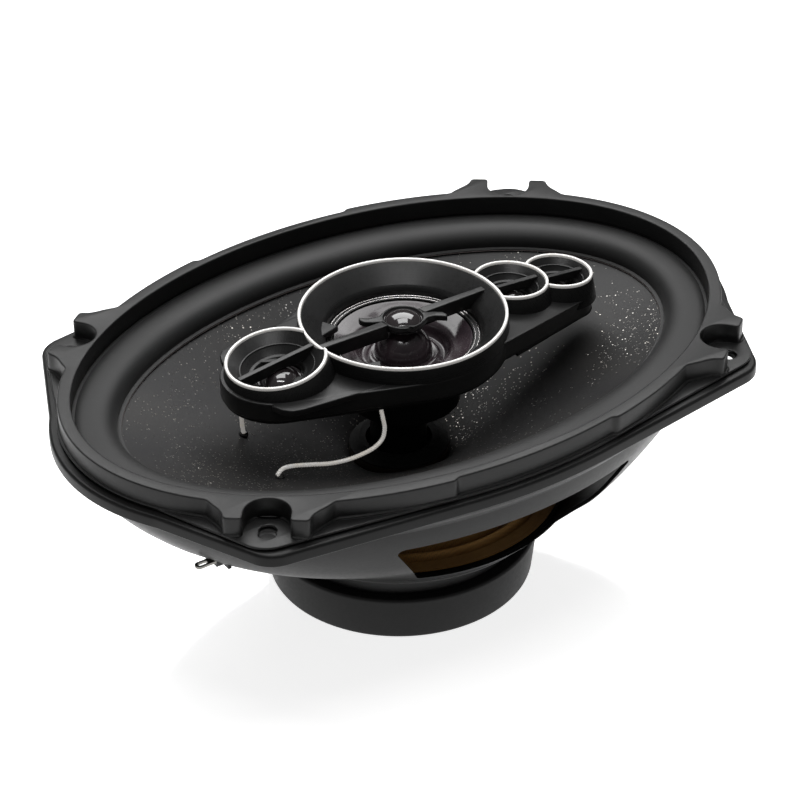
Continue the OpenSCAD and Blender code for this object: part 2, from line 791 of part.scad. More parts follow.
basket();
gasket_rim();
yoke();
magnet();
top_plate();
magnet_boot();
plate_rivets();
terminal_board();
wide_terminal();
narrow_terminal();
terminal_rivets();
coil_leads();
bridge_post();
post_bolt();
mid_housing();
bridge_cover();
bridge_body();
main_trim();
left_trim();
inner_trim();
outer_trim();
center_hub();
center_magnet();
left_bar();
inner_bar();
outer_bar();
tweeter_magnets();
crossover_capacitors();
mid_yoke();
mid_magnet();
mid_ring();
front_lead();
rear_lead();
cone();
surround();
spider();
coil_former();
voice_coil();
dust_shield();
lead_glue();
mid_diaphragm();
mid_coil();
center_dome();
left_dome();
inner_dome();
outer_dome();
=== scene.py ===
import math

import bmesh
import bpy
import numpy as np
from mathutils import Matrix, Vector
from mathutils.kdtree import KDTree


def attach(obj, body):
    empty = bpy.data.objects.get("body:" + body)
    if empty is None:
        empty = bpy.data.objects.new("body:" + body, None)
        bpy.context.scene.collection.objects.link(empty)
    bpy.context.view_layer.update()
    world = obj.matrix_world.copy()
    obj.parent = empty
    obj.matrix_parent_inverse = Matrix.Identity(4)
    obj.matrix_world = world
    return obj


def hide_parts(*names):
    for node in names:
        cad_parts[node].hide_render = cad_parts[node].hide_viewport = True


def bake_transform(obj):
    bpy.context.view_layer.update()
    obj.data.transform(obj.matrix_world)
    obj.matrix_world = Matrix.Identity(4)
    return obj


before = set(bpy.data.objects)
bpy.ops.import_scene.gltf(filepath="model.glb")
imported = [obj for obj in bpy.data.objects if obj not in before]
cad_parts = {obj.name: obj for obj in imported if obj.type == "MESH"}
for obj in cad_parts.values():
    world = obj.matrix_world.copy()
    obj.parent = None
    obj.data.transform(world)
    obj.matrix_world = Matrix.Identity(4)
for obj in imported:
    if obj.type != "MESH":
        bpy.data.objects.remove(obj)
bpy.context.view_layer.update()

MM = 0.001
PI = math.pi
WELD = 1e-6     # metres

# Sizes in millimetres, in the CAD model's frame
FLANGE = (115.5, 80.0)
FLANGE_Z = 78.4
SKIRT_Z = 74.4
SHEET = 1.2
SHELF = (110.8, 76.8)
EAR_R, EAR = 10.2, (82.2, 59.4)
HOLE = (83.4, 58.6)
HOLE_R = 2.5
RIM_IN = (108.0, 73.7)
RIM_OUT = (112.1, 78.1)
RIM_Z = 86.0
LIP_LOW, LIP_HIGH = 78.7, 79.6
LIP_EAR_R, LIP_EAR = 10.0, (82.3, 56.7)
SEAT = (110.3, 76.3)
CORNER_TURN = math.radians(52.4)
STEP_X, STEP_IN = 29.0, 1.3
SLOT_R, POCKET_R = 2.6, 6.9
# Bowl's outside: half length, half width, z
FLOOR_R, FLOOR_Z = 48.8, 25.0
BOWL = [(FLOOR_R, FLOOR_R, 26.9), (54.4, 54, 31.5), (68, 59.2, 38), (84, 64.6, 45),
        (96, 69, 54), (105, 73, 64), (109.8, 75.9, 74), (110.8, 76.8, 77.5)]
# Windows: half width at the low edge, half width at the top edge, z of the top edge
WINDOW_LOW = 33
LONG_WINDOW, END_WINDOW = (26, 44, 59.6), (20, 30, 53)
TAB_X, TAB_Y, TAB_TOP, TAB_OVAL = -81.1, (-30.4, -4.9), 54.5, (95.3, 68.4)
FORMER_R = 15.8
SPIDER_Z = 33.4
CONE_EDGE = (95.2, 59.4)
CONE_NECK_Z, CONE_EDGE_Z = 43.0, 74.4
CREST = 80.0
MAIN_X, MAIN_R, MAIN_Z = 2.2, 32.2, 93.4
MAIN_WALL_R, TUB_END_R, WING_END_R = 33.0, 17.3, 11.8
DECK_Z, TUB_Z = 88.0, 81.7
WING_X, WING_TILT = 27.0, math.radians(8.5)
HUB_TOP, HUB_R = 91.9, 6.9
BALL_Z, BALL_R = 78.9, 9.2
TRIM_W, TRIM_H = 1.0, 1.0
DOME_THICK = 0.4
# Small cups: x, z of the trim ring, ring radius, tilt in degrees, depth to the throat, dome radius
CUPS = {"left": (-44, 93.4, 15.3, -6.8, 5.2, 6.4), "inner": (43, 91.2, 11.6, 4.1, 4.2, 4.9),
        "outer": (61.6, 88.2, 10.6, 5.5, 4.0, 4.5)}


# ---- mesh helpers ----
def add(name, data):
    """New object in the scene."""
    ob = bpy.data.objects.new(name, data)
    bpy.context.scene.collection.objects.link(ob)
    return ob


def weld(mesh, dist):
    """Joins doubled points and turns the normals out."""
    bm = bmesh.new()
    bm.from_mesh(mesh)
    bmesh.ops.remove_doubles(bm, verts=bm.verts, dist=dist)
    bmesh.ops.recalc_face_normals(bm, faces=bm.faces)
    bm.to_mesh(mesh)
    bm.free()


def paint(mesh, material):
    mesh.materials.clear()
    mesh.materials.append(material)


def finish_mesh(name, mesh, material, body=None, replaces=(), angle=35):
    """Welds, turns normals out, sets smooth shading with sharp edges, and hangs the piece on its body."""
    weld(mesh, WELD)
    mesh.shade_smooth()
    mesh.set_sharp_from_angle(angle=math.radians(angle))
    mesh.name = name
    ob = add(name, mesh)
    paint(mesh, material)
    if body:
        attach(ob, body)
    if replaces:
        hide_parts(*replaces)
    return ob


def mesh_of(parts):
    """One mesh from (points in mm, faces) pairs."""
    verts, faces, base = [], [], 0
    for points, quads in parts:
        verts.extend((np.asarray(points, float) * MM).tolist())
        faces.extend([tuple(i + base for i in f) for f in quads])
        base += len(points)
    mesh = bpy.data.meshes.new("piece")
    mesh.from_pydata(verts, [], faces)
    return mesh


def parts_of(mesh):
    """(points in mm, faces) of a mesh."""
    return (np.array([v.co for v in mesh.vertices], float).reshape(-1, 3) / MM,
            [tuple(f.vertices) for f in mesh.polygons])


def grid(rings, around=True, along=False):
    """Points and quads of a grid; around closes each ring, along joins the last ring to the first."""
    rings = np.asarray(rings, float)
    m, n = rings.shape[:2]
    faces = []
    for j in range(m if along else m - 1):
        k = (j + 1) % m
        for i in range(n if around else n - 1):
            l = (i + 1) % n
            faces.append((j * n + i, j * n + l, k * n + l, k * n + i))
    return rings.reshape(-1, 3), faces


def turned(profile, n=128, closed=True, x=0, low=0.0, high=2 * PI, place=None):
    """Surface of revolution of (r, z) points about the vertical line through (x, 0)."""
    whole = abs(high - low - 2 * PI) < 1e-9
    a = np.linspace(low, high, n, endpoint=not whole)
    rings = [flat_ring(arc(0, r, a), z) for r, z in profile]
    points, faces = grid(rings, around=whole, along=closed)
    if place is not None:
        points = place(points)
    return points + np.array([x, 0, 0]), faces


def placed(cup):
    """Moves points from a small cup's own frame to the speaker's frame."""
    x, z, _, tilt, _, _ = cup
    t = math.radians(tilt)
    turn = np.array([[math.cos(t), 0, math.sin(t)], [0, 1, 0], [-math.sin(t), 0, math.cos(t)]])
    return lambda p: p @ turn.T + np.array([x, 0, z])


def wing_tilted(points):
    c, s = math.cos(WING_TILT), math.sin(WING_TILT)
    hinge = np.array([WING_X, 0, DECK_Z])
    p = np.asarray(points, float) - hinge
    return np.stack([p[:, 0] * c + p[:, 2] * s, p[:, 1], -p[:, 0] * s + p[:, 2] * c], 1) + hinge


def rounded(points, radii, steps=5):
    """Polygon with its corners turned into arcs; radii is one number or one per corner."""
    p = [np.array(q, float) for q in points]
    n = len(p)
    radii = [radii] * n if np.isscalar(radii) else list(radii)
    out = []
    for i in range(n):
        if radii[i] <= 0:
            out.append(p[i])
            continue
        a, b, c = p[i - 1], p[i], p[(i + 1) % n]
        u, v = (a - b) / np.linalg.norm(a - b), (c - b) / np.linalg.norm(c - b)
        half = math.acos(max(-1.0, min(1.0, float(u @ v)))) / 2
        if half > PI / 2 - 0.02:
            out.append(b)
            continue
        reach = min(radii[i] / math.tan(half), 0.49 * np.linalg.norm(a - b), 0.49 * np.linalg.norm(c - b))
        r = reach * math.tan(half)
        mid = (u + v) / np.linalg.norm(u + v)
        centre = b + mid * (r / math.sin(half))
        s, e = b + u * reach - centre, b + v * reach - centre
        whole = math.acos(max(-1.0, min(1.0, float(s @ e) / (r * r))))
        for k in range(steps + 1):
            t = k / steps
            w = (math.sin((1 - t) * whole) * s + math.sin(t * whole) * e) / max(math.sin(whole), 1e-9)
            out.append(centre + w)
    return np.array(out)


def oval(a, b, n=360):
    t = np.linspace(0, 2 * PI, n, endpoint=False)
    return np.stack([a * np.cos(t), b * np.sin(t)], 1)


def circle(cx, cy, r, n=96):
    return oval(r, r, n) + np.array([cx, cy])


def evaluated(ob):
    return bpy.data.meshes.new_from_object(ob.evaluated_get(bpy.context.evaluated_depsgraph_get()))


def plate(loops, z0, z1, bevel=0.3, steps=2, place=None):
    """Flat plate with rounded edges, from its outline and the outlines of its holes."""
    cu = bpy.data.curves.new("plate", "CURVE")
    cu.dimensions, cu.fill_mode = "2D", "BOTH"
    cu.extrude = (z1 - z0) / 2 - bevel
    cu.bevel_depth, cu.bevel_resolution, cu.offset = bevel, steps, -bevel
    for loop in loops:
        sp = cu.splines.new("POLY")
        sp.points.add(len(loop) - 1)
        for p, q in zip(sp.points, loop):
            p.co = (q[0], q[1], 0, 1)
        sp.use_cyclic_u = True
    ob = add("plate", cu)
    bpy.context.view_layer.update()
    mesh = evaluated(ob)
    points = np.array([v.co for v in mesh.vertices], float).reshape(-1, 3) + np.array([0, 0, (z0 + z1) / 2])
    # A bevel can throw a point far out at a sharp corner: such points go back to the outline
    outline = KDTree(sum(len(loop) for loop in loops))
    for k, q in enumerate(np.vstack([np.asarray(loop, float)[:, :2] for loop in loops])):
        outline.insert((q[0], q[1], 0), k)
    outline.balance()
    for p in points:
        near, _, far = outline.find((p[0], p[1], 0))
        if far > 2.5 * bevel + 0.6:
            p[:2] = near[:2]
    faces = [tuple(f.vertices) for f in mesh.polygons]
    bpy.data.objects.remove(ob)
    bpy.data.meshes.remove(mesh)
    bpy.data.curves.remove(cu)
    return (points if place is None else place(points)), faces


def slab(x0, x1, y0, y1, z0, z1, bevel=0.3):
    """Box with rounded edges and corners."""
    return plate([rounded([(x0, y0), (x1, y0), (x1, y1), (x0, y1)], bevel, 3)], z0, z1, bevel)


def smooth_line(points, n):
    """Catmull-Rom curve through points, n samples evenly spaced along it."""
    p = np.asarray(points, float)
    p = np.vstack([2 * p[0] - p[1], p, 2 * p[-1] - p[-2]])
    out = []
    for i in range(1, len(p) - 2):
        for t in np.linspace(0, 1, 24, endpoint=False):
            a, b, c, d = p[i - 1:i + 3]
            out.append(0.5 * (2 * b + (c - a) * t + (2 * a - 5 * b + 4 * c - d) * t ** 2
                              + (3 * b - a - 3 * c + d) * t ** 3))
    out = np.array(out + [p[-2]])
    s = distance_along(out)
    at = np.linspace(0, s[-1], n)
    return np.stack([np.interp(at, s, out[:, k]) for k in range(p.shape[1])], 1)


def distance_along(line):
    return np.r_[0, np.cumsum(np.linalg.norm(np.diff(line, axis=0), axis=1))]


def frames_along(line):
    """Two unit vectors across the line at each of its points, turning as little as they can."""
    d = np.gradient(line, axis=0)
    d /= np.linalg.norm(d, axis=1)[:, None]
    u = np.cross(d[0], [0.2, 0.9, 0.3])
    out = []
    for t in d:
        u = u - (u @ t) * t
        u /= np.linalg.norm(u)
        out.append((u, np.cross(t, u)))
    return out


def tube(line, r, sides=8):
    """Round tube along a line of points; r is one radius or one per point."""
    line = np.asarray(line, float)
    r = np.broadcast_to(np.asarray(r, float), (len(line),))
    a = np.linspace(0, 2 * PI, sides, endpoint=False)[:, None]
    points, faces = grid([p + w * (np.cos(a) * u + np.sin(a) * v)
                          for p, w, (u, v) in zip(line, r, frames_along(line))])
    n = len(points)
    return points, faces + [tuple(range(sides))[::-1], tuple(range(n - sides, n))]


def braid(line, r, strands=3, pitch=2.4, sides=7):
    """Strands twisted round a line, each in step along it."""
    line = np.asarray(line, float)
    out = []
    for k in range(strands):
        a = 2 * PI * (distance_along(line) / pitch + k / strands)
        off = np.array([math.cos(x) * u + math.sin(x) * v for x, (u, v) in zip(a, frames_along(line))])
        out.append(tube(line + off * r * 0.56, r * 0.52, sides))
    return out


def cut(mesh, cutters, name):
    """Mesh minus the joined cutters, by an exact boolean."""
    ob, tool = add(name, mesh), add("tool", mesh_of(cutters))
    for o in (ob, tool):
        weld(o.data, WELD / 10)
    mod = ob.modifiers.new("cut", "BOOLEAN")
    mod.operation, mod.object, mod.solver = "DIFFERENCE", tool, "EXACT"
    bpy.context.view_layer.update()
    made = evaluated(ob)
    bpy.data.objects.remove(ob)
    bpy.data.objects.remove(tool)
    return made


# ---- materials ----
class Nodes:
    """Short names for the node calls of one material."""

    def __init__(self, name):
        self.m = bpy.data.materials.new(name)
        self.m.use_nodes = True
        self.t = self.m.node_tree
        self.b = self.t.nodes["Principled BSDF"]
        self.coords = self.t.nodes.new("ShaderNodeTexCoord").outputs["Object"]

    def node(self, kind, inputs=None, **facts):
        n = self.t.nodes.new("ShaderNode" + kind)
        for k, v in facts.items():
            setattr(n, k, v)
        for k, v in (inputs or {}).items():
            if isinstance(v, bpy.types.NodeSocket):
                self.t.links.new(v, n.inputs[k])
            else:
                n.inputs[k].default_value = v
        return n

    def noise(self, scale, detail=3.0, rough=0.5):
        return self.node("TexNoise", {"Vector": self.coords, "Scale": scale, "Detail": detail,
                                      "Roughness": rough}).outputs["Fac"]

    def math(self, operation, a, b=0.0, clamp=False):
        return self.node("Math", {0: a, 1: b}, operation=operation, use_clamp=clamp).outputs[0]

    def span(self, value, low, high, to_low, to_high):
        return self.node("MapRange", {"Value": value, "From Min": low, "From Max": high,
                                      "To Min": to_low, "To Max": to_high}).outputs["Result"]

    def mix(self, fac, a, b):
        n = self.node("Mix", {"Factor": fac}, data_type="RGBA")
        for socket, v in ((n.inputs[6], a), (n.inputs[7], b)):
            if isinstance(v, bpy.types.NodeSocket):
                self.t.links.new(v, socket)
            else:
                socket.default_value = (*v, 1)
        return n.outputs[2]

    def mottle(self, noise, a, b):
        return self.mix(self.span(noise, 0.3, 0.7, 0, 1), a, b)

    def bump(self, height, strength, depth, normal=None):
        inputs = {"Height": height, "Strength": strength, "Distance": depth}
        if normal is not None:
            inputs["Normal"] = normal
        return self.node("Bump", inputs).outputs["Normal"]

    def edge(self, radius):
        """(rounded normal, 0 to 1 mask of the edges)"""
        soft = self.node("Bevel", {"Radius": radius}, samples=4).outputs["Normal"]
        flat = self.node("NewGeometry").outputs["Normal"]
        dot = self.node("VectorMath", {0: soft, 1: flat}, operation="DOT_PRODUCT").outputs["Value"]
        return soft, self.span(dot, 0.995, 0.86, 0.0, 1.0)

    def put(self, **values):
        for k, v in values.items():
            socket = self.b.inputs[k.replace("_", " ")]
            if isinstance(v, bpy.types.NodeSocket):
                self.t.links.new(v, socket)
            elif isinstance(v, tuple) and len(v) == 3:
                socket.default_value = (*v, 1)
            else:
                socket.default_value = v
        return self.m


def grey(v, warm=0.0, blue=0.0):
    return (v * (1 + warm), v, v * (1 - warm + blue))


def coated(name, dark, light, rough, grain, depth, specular=0.5, wear=0.05, edge=0.35, metallic=0.0, coat=0.0,
           wear_colour=None, brushed=None):
    """Moulded or painted surface: mottled colour, fine grain, softened and slightly worn edges.

    brushed is the X of the axis that turning marks run round, and their depth in millimetres.
    """
    n = Nodes(name)
    soft, mask = n.edge(edge * MM)
    large = n.noise(55, 4)
    fine = n.noise(grain, 3, 0.6)
    specks = n.noise(900, 2)
    colour = n.mottle(large, dark, light)
    rub = n.math("MULTIPLY", mask, n.span(specks, 0.42, 0.62, 0.15, 1.0), True)
    worn = wear_colour or tuple(min(1.0, c * 2.2 + 0.02) for c in light)
    colour = n.mix(n.math("MULTIPLY", rub, wear, True), colour, worn)
    r = n.math("ADD", n.span(large, 0.3, 0.7, rough - 0.04, rough + 0.04),
               n.span(specks, 0.4, 0.6, -0.02, 0.02), True)
    normal = n.bump(fine, 0.5, depth * MM, soft)
    if brushed:
        x, groove = brushed
        moved = n.node("VectorMath", {0: n.coords, 1: (x * MM, 0, 0)}, operation="SUBTRACT").outputs[0]
        parts = n.node("SeparateXYZ", {0: moved})
        flat = n.node("CombineXYZ", {0: parts.outputs[0], 1: parts.outputs[1]}).outputs[0]
        far = n.node("VectorMath", {0: flat}, operation="LENGTH").outputs["Value"]
        level = n.math("ADD", far, n.math("MULTIPLY", parts.outputs[2], 0.6))
        line = n.node("TexNoise", {"Scale": 9000.0, "Detail": 2.0, "W": level}, noise_dimensions="1D")
        line = line.outputs["Fac"]
        normal = n.bump(line, 0.35, groove * MM, normal)
        r = n.math("ADD", r, n.span(line, 0.3, 0.7, -0.07, 0.07), True)
    return n.put(Base_Color=colour, Roughness=r, Normal=normal, Specular_IOR_Level=specular, Metallic=metallic,
                 Coat_Weight=coat)


RIM = coated("rim_plastic", grey(0.009), grey(0.014), 0.40, 2600, 0.02, 0.27, 0.35, 0.5)
BASKET = coated("basket_coat", grey(0.008), grey(0.012), 0.36, 1800, 0.015, 0.14, 0.25, 0.4)
BOOT = coated("boot_rubber", grey(0.010), grey(0.016), 0.5, 1500, 0.02, 0.2, 0.1, 0.6)
STEEL = coated("zinc_steel", (0.10, 0.10, 0.105), (0.16, 0.155, 0.15), 0.38, 1400, 0.01, 0.5, 0.4, 0.3, 0.85,
               0, (0.45, 0.44, 0.42))
FERRITE = coated("ferrite", grey(0.018), grey(0.035), 0.55, 700, 0.04, 0.5, 0.5, 0.5)
BOARD = coated("board_laminate", grey(0.012), grey(0.022), 0.5, 2200, 0.02, 0.4, 0.2, 0.25)
TINNED = coated("tinned_metal", (0.10, 0.095, 0.09), (0.30, 0.29, 0.27), 0.3, 2500, 0.01, 0.5, 0.5, 0.2, 0.9,
                0, (0.7, 0.68, 0.64))
BRIDGE = coated("bridge_plastic", grey(0.009), grey(0.013), 0.36, 3200, 0.012, 0.3, 0.3, 0.4)
CUP = coated("cup_plastic", grey(0.008), grey(0.012), 0.33, 3200, 0.006, 0.3, 0.25, 0.3,
             brushed=(MAIN_X, 0.03))
HUB = coated("hub_plastic", grey(0.009), grey(0.013), 0.34, 3200, 0.01, 0.35, 0.35, 0.35)
UNDER = coated("dark_housing", grey(0.005), grey(0.008), 0.42, 2600, 0.02, 0.2, 0.2, 0.4)
SLEEVE = coated("capacitor_sleeve", (0.01, 0.03, 0.10), (0.02, 0.05, 0.15), 0.3, 1500, 0.01, 0.5, 0.2, 0.3)
GLUE = coated("black_glue", grey(0.006), grey(0.012), 0.2, 500, 0.08, 0.5, 0.1, 0.4, coat=0.3)
COPPER = coated("copper_wire", (0.30, 0.10, 0.04), (0.50, 0.20, 0.09), 0.3, 3000, 0.03, 0.5, 0.3, 0.2, 0.9)
FORMER = coated("former_film", (0.016, 0.010, 0.006), (0.03, 0.018, 0.010), 0.45, 900, 0.01, 0.5, 0.2, 0.2)


def trim_metal():
    """Thin bright ring with a warm tone and a few dull specks; a faint emission adds a painted glow."""
    n = Nodes("trim_chrome")
    soft, _ = n.edge(0.2 * MM)
    large, fine = n.noise(160, 4), n.noise(2600, 2)
    marks = n.span(n.noise(420, 1), 0.70, 0.76, 0, 1)
    colour = n.mix(n.span(large, 0.35, 0.7, 0, 1), (0.93, 0.91, 0.87), (0.98, 0.97, 0.95))
    colour = n.mix(n.math("MULTIPLY", marks, 0.45, True), colour, (0.42, 0.33, 0.24))
    # The faint warm emission is painted light: a painted glow that keeps the ring bright all round, though it
    # is no lamp.
    return n.put(Base_Color=colour, Roughness=n.span(fine, 0.3, 0.7, 0.26, 0.42), Metallic=0.05,
                 Coat_Weight=0.5, Emission_Color=(1.0, 0.97, 0.92), Emission_Strength=0.10,
                 Specular_IOR_Level=0.9, Normal=n.bump(fine, 0.3, 0.01 * MM, soft))


def surround_rubber():
    n = Nodes("surround_rubber")
    large, fine, dust = n.noise(35, 4), n.noise(1800, 4, 0.65), n.noise(420, 2)
    colour = n.mottle(large, grey(0.008), grey(0.013))
    colour = n.mix(n.span(dust, 0.62, 0.8, 0, 0.25), colour, grey(0.03))
    return n.put(Base_Color=colour, Roughness=n.span(large, 0.3, 0.7, 0.47, 0.56), Specular_IOR_Level=0.28,
                 Normal=n.bump(fine, 0.4, 0.02 * MM), Sheen_Weight=0.05, Sheen_Roughness=0.5)


def cone_mica():
    """Black fibre-and-mica cone: soft mottling with bright flakes of two sizes, each turned its own way."""
    n = Nodes("mica_cone")
    large, fibre = n.noise(28, 5), n.noise(1400, 4, 0.7)
    base = n.mottle(large, grey(0.008, 0, 0.1), grey(0.016, 0.05))
    crowd = n.span(n.noise(24, 3), 0.36, 0.62, 0.72, 1.0)
    flat = n.node("NewGeometry").outputs["Normal"]
    flakes = way = None
    for scale, share, size in ((1500, 0.74, 0.38), (820, 0.86, 0.26)):
        cell = n.node("TexVoronoi", {"Vector": n.coords, "Scale": float(scale)}, feature="F1")
        tone = n.node("SeparateXYZ", {0: cell.outputs["Color"]})
        chosen = n.math("GREATER_THAN", n.math("MULTIPLY", tone.outputs[0], crowd), share)
        spot = n.math("MULTIPLY", chosen, n.span(cell.outputs["Distance"], size, size * 0.7, 0, 1), True)
        flakes = spot if flakes is None else n.math("MAXIMUM", flakes, spot)
        way = cell.outputs["Color"] if way is None else way
    lean = n.node("VectorMath", {0: way, 1: (0.5, 0.5, 0.5)}, operation="SUBTRACT").outputs[0]
    lean = n.node("VectorMath", {0: lean, 3: 0.9}, operation="SCALE").outputs[0]
    lean = n.node("VectorMath", {0: n.node("VectorMath", {0: flat, 1: lean}, operation="ADD").outputs[0]},
                  operation="NORMALIZE").outputs[0]
    normal = n.node("Mix", {"Factor": flakes}, data_type="VECTOR")
    n.t.links.new(n.bump(fibre, 0.4, 0.03 * MM), normal.inputs[4])
    n.t.links.new(lean, normal.inputs[5])
    colour = n.mix(flakes, base, n.mix(n.noise(60, 2), (0.42, 0.42, 0.43), (0.42, 0.38, 0.31)))
    rough = n.math("ADD", n.span(flakes, 0, 1, 0.5, 0.34), n.span(fibre, 0.3, 0.7, -0.04, 0.04), True)
    return n.put(Base_Color=colour, Roughness=rough, Metallic=flakes, Normal=normal.outputs[1],
                 Specular_IOR_Level=0.27)


def spider_cloth():
    """Woven, resin-stiffened cloth: crossed threads with open pores, toasted in places."""
    n = Nodes("spider_cloth")
    large, fluff = n.noise(40, 4), n.noise(2500, 3)
    waves = []
    for turn in (0, PI / 2):
        moved = n.node("Mapping", {"Vector": n.coords, "Rotation": (0, 0, turn)}).outputs[0]
        wave = n.node("TexWave", {"Vector": moved, "Scale": 480.0, "Distortion": 0.4, "Detail": 1.0,
                                  "Detail Scale": 2.0}, wave_type="BANDS", bands_direction="X")
        waves.append(wave.outputs["Fac"])
    weave = n.math("MAXIMUM", *waves)
    colour = n.mottle(large, (0.40, 0.19, 0.045), (0.62, 0.33, 0.09))
    colour = n.mix(n.span(weave, 0.2, 0.75, 0.35, 0), colour, (0.20, 0.085, 0.02))
    return n.put(Base_Color=colour, Roughness=n.span(fluff, 0.3, 0.7, 0.55, 0.75), Specular_IOR_Level=0.35,
                 Normal=n.bump(weave, 0.35, 0.05 * MM), Sheen_Weight=0.25)


def felt():
    n = Nodes("felt")
    tuft, fine = n.noise(700, 5, 0.7), n.noise(3500, 3)
    colour = n.mottle(tuft, grey(0.004), grey(0.010))
    return n.put(Base_Color=colour, Roughness=n.span(fine, 0.3, 0.7, 0.8, 0.95), Specular_IOR_Level=0.2,
                 Normal=n.bump(tuft, 0.8, 0.15 * MM))


def gloss_film(name, dark, light, rough, shine=0.7, coat=0.6):
    """Glossy moulded film with faint unevenness and fine dust."""
    n = Nodes(name)
    large, dust = n.noise(90, 3), n.noise(1500, 2)
    colour = n.mottle(large, dark, light)
    r = n.math("ADD", n.span(dust, 0.55, 0.75, rough, rough + 0.14), n.span(large, 0.3, 0.7, -0.02, 0.03), True)
    return n.put(Base_Color=colour, Roughness=r, Specular_IOR_Level=shine, Coat_Weight=coat,
                 Coat_Roughness=0.04, Normal=n.bump(large, 0.12, 0.2 * MM))


def tinsel():
    """Silver-plated copper tinsel with cream thread showing through, plus a painted glow in its own colour."""
    n = Nodes("tinsel_braid")
    large, fine = n.noise(300, 3), n.noise(5000, 3, 0.7)
    colour = n.mix(n.span(large, 0.35, 0.65, 0, 1), (0.90, 0.85, 0.77), (0.95, 0.94, 0.92))
    colour = n.mix(n.span(fine, 0.6, 0.75, 0, 0.7), colour, (0.45, 0.32, 0.22))
    # The emission in the braid's own colour is painted light: a painted glow that keeps the leads bright where
    # they lie in shade.
    return n.put(Base_Color=colour, Roughness=n.span(fine, 0.3, 0.7, 0.28, 0.5), Metallic=0.2,
                 Specular_IOR_Level=0.8, Emission_Color=colour, Emission_Strength=0.22,
                 Normal=n.bump(fine, 0.7, 0.05 * MM))


TRIM = trim_metal()
RUBBER = surround_rubber()
CONE = cone_mica()
CLOTH = spider_cloth()
FELT = felt()
DOME = gloss_film("gloss_film", (0.012, 0.010, 0.011), (0.020, 0.015, 0.016), 0.07)
MIDFILM = gloss_film("mid_film", (0.022, 0.016, 0.019), (0.040, 0.028, 0.033), 0.19, 0.42, 0.2)
TINSEL = tinsel()
SILVER = coated("ring_silver", (0.55, 0.53, 0.52), (0.75, 0.73, 0.72), 0.22, 1800, 0.01, 0.5, 0.2, 0.1, 0.95)
BEAD = coated("edge_bead", (0.075, 0.062, 0.060), (0.12, 0.095, 0.09), 0.35, 1500, 0.02, 0.5, 0.2, 0.1)


# ---- outlines of the flange and the rim ----
def eared_oval(a, b, r, c, count=880):
    """An oval with four ears of radius r round c, as the furthest of three shapes in each direction."""
    c = np.array(c)
    side, end = np.array([a * 0.19, b * 0.982]), np.array([a * 0.982, b * 0.19])

    def touch(p, sign):
        d = np.linalg.norm(p - c)
        u, t = (p - c) / d, sign * math.acos(r / d)
        s, k = math.sin(t), math.cos(t)
        return c + r * np.array([u[0] * k - u[1] * s, u[0] * s + u[1] * k])

    lines = [(end, touch(end, 1)), (touch(side, -1), side)]
    t = np.linspace(0, PI / 2, count // 4 + 1)
    d = np.stack([np.cos(t), np.sin(t)], 1)
    far = 1 / np.sqrt((d[:, 0] / a) ** 2 + (d[:, 1] / b) ** 2)
    across = d[:, 0] * c[1] - d[:, 1] * c[0]
    inside = np.clip(r * r - across ** 2, 0, None)
    far = np.maximum(far, np.where(np.abs(across) < r, d @ c + np.sqrt(inside), 0))
    for p, q in lines:
        e = q - p
        den = d[:, 0] * e[1] - d[:, 1] * e[0]
        s = (p[0] * e[1] - p[1] * e[0]) / den
        w = (p[0] * d[:, 1] - p[1] * d[:, 0]) / den
        far = np.maximum(far, np.where((w >= 0) & (w <= 1) & (s > 0), s, 0))
    return mirrored(d * far[:, None])


def mirrored(quarter):
    """Closed outline from its first quarter, which runs from the X axis to the Y axis."""
    second = quarter[::-1][1:] * np.array([-1, 1])
    half = np.vstack([quarter, second])
    return np.vstack([half, (half[::-1] * np.array([1, -1]))[1:-1]])


def resampled(loop, step, blur):
    """Even spacing round a closed outline, with its corners eased by a blur of that many millimetres."""
    closed = np.vstack([loop, loop[:1]])
    s = distance_along(closed)
    n = int(round(s[-1] / step / 4)) * 4
    at = np.linspace(0, s[-1], n, endpoint=False)
    p = np.stack([np.interp(at, s, closed[:, k]) for k in (0, 1)], 1)
    if blur:
        reach = int(3 * blur / step) + 1
        w = np.exp(-0.5 * (np.arange(-reach, reach + 1) * step / blur) ** 2)
        w /= w.sum()
        p = sum(w[k + reach] * np.roll(p, k, axis=0) for k in range(-reach, reach + 1))
    return p


def outward(loop):
    """Unit normals pointing out of a closed, anticlockwise outline."""
    t = np.roll(loop, -1, axis=0) - np.roll(loop, 1, axis=0)
    t /= np.linalg.norm(t, axis=1)[:, None]
    return np.stack([t[:, 1], -t[:, 0]], 1)


def at_corner(v, u):
    """From a corner's own frame, v outward through the screw and u along the rim, to the first quadrant."""
    c, s = math.cos(CORNER_TURN), math.sin(CORNER_TURN)
    return np.array([HOLE[0] + v * c - u * s, HOLE[1] + v * s + u * c])


def four_ways(loop):
    """A loop in the first quadrant and its mirror images."""
    return [loop * np.array([sx, sy]) for sx in (1, -1) for sy in (1, -1)]


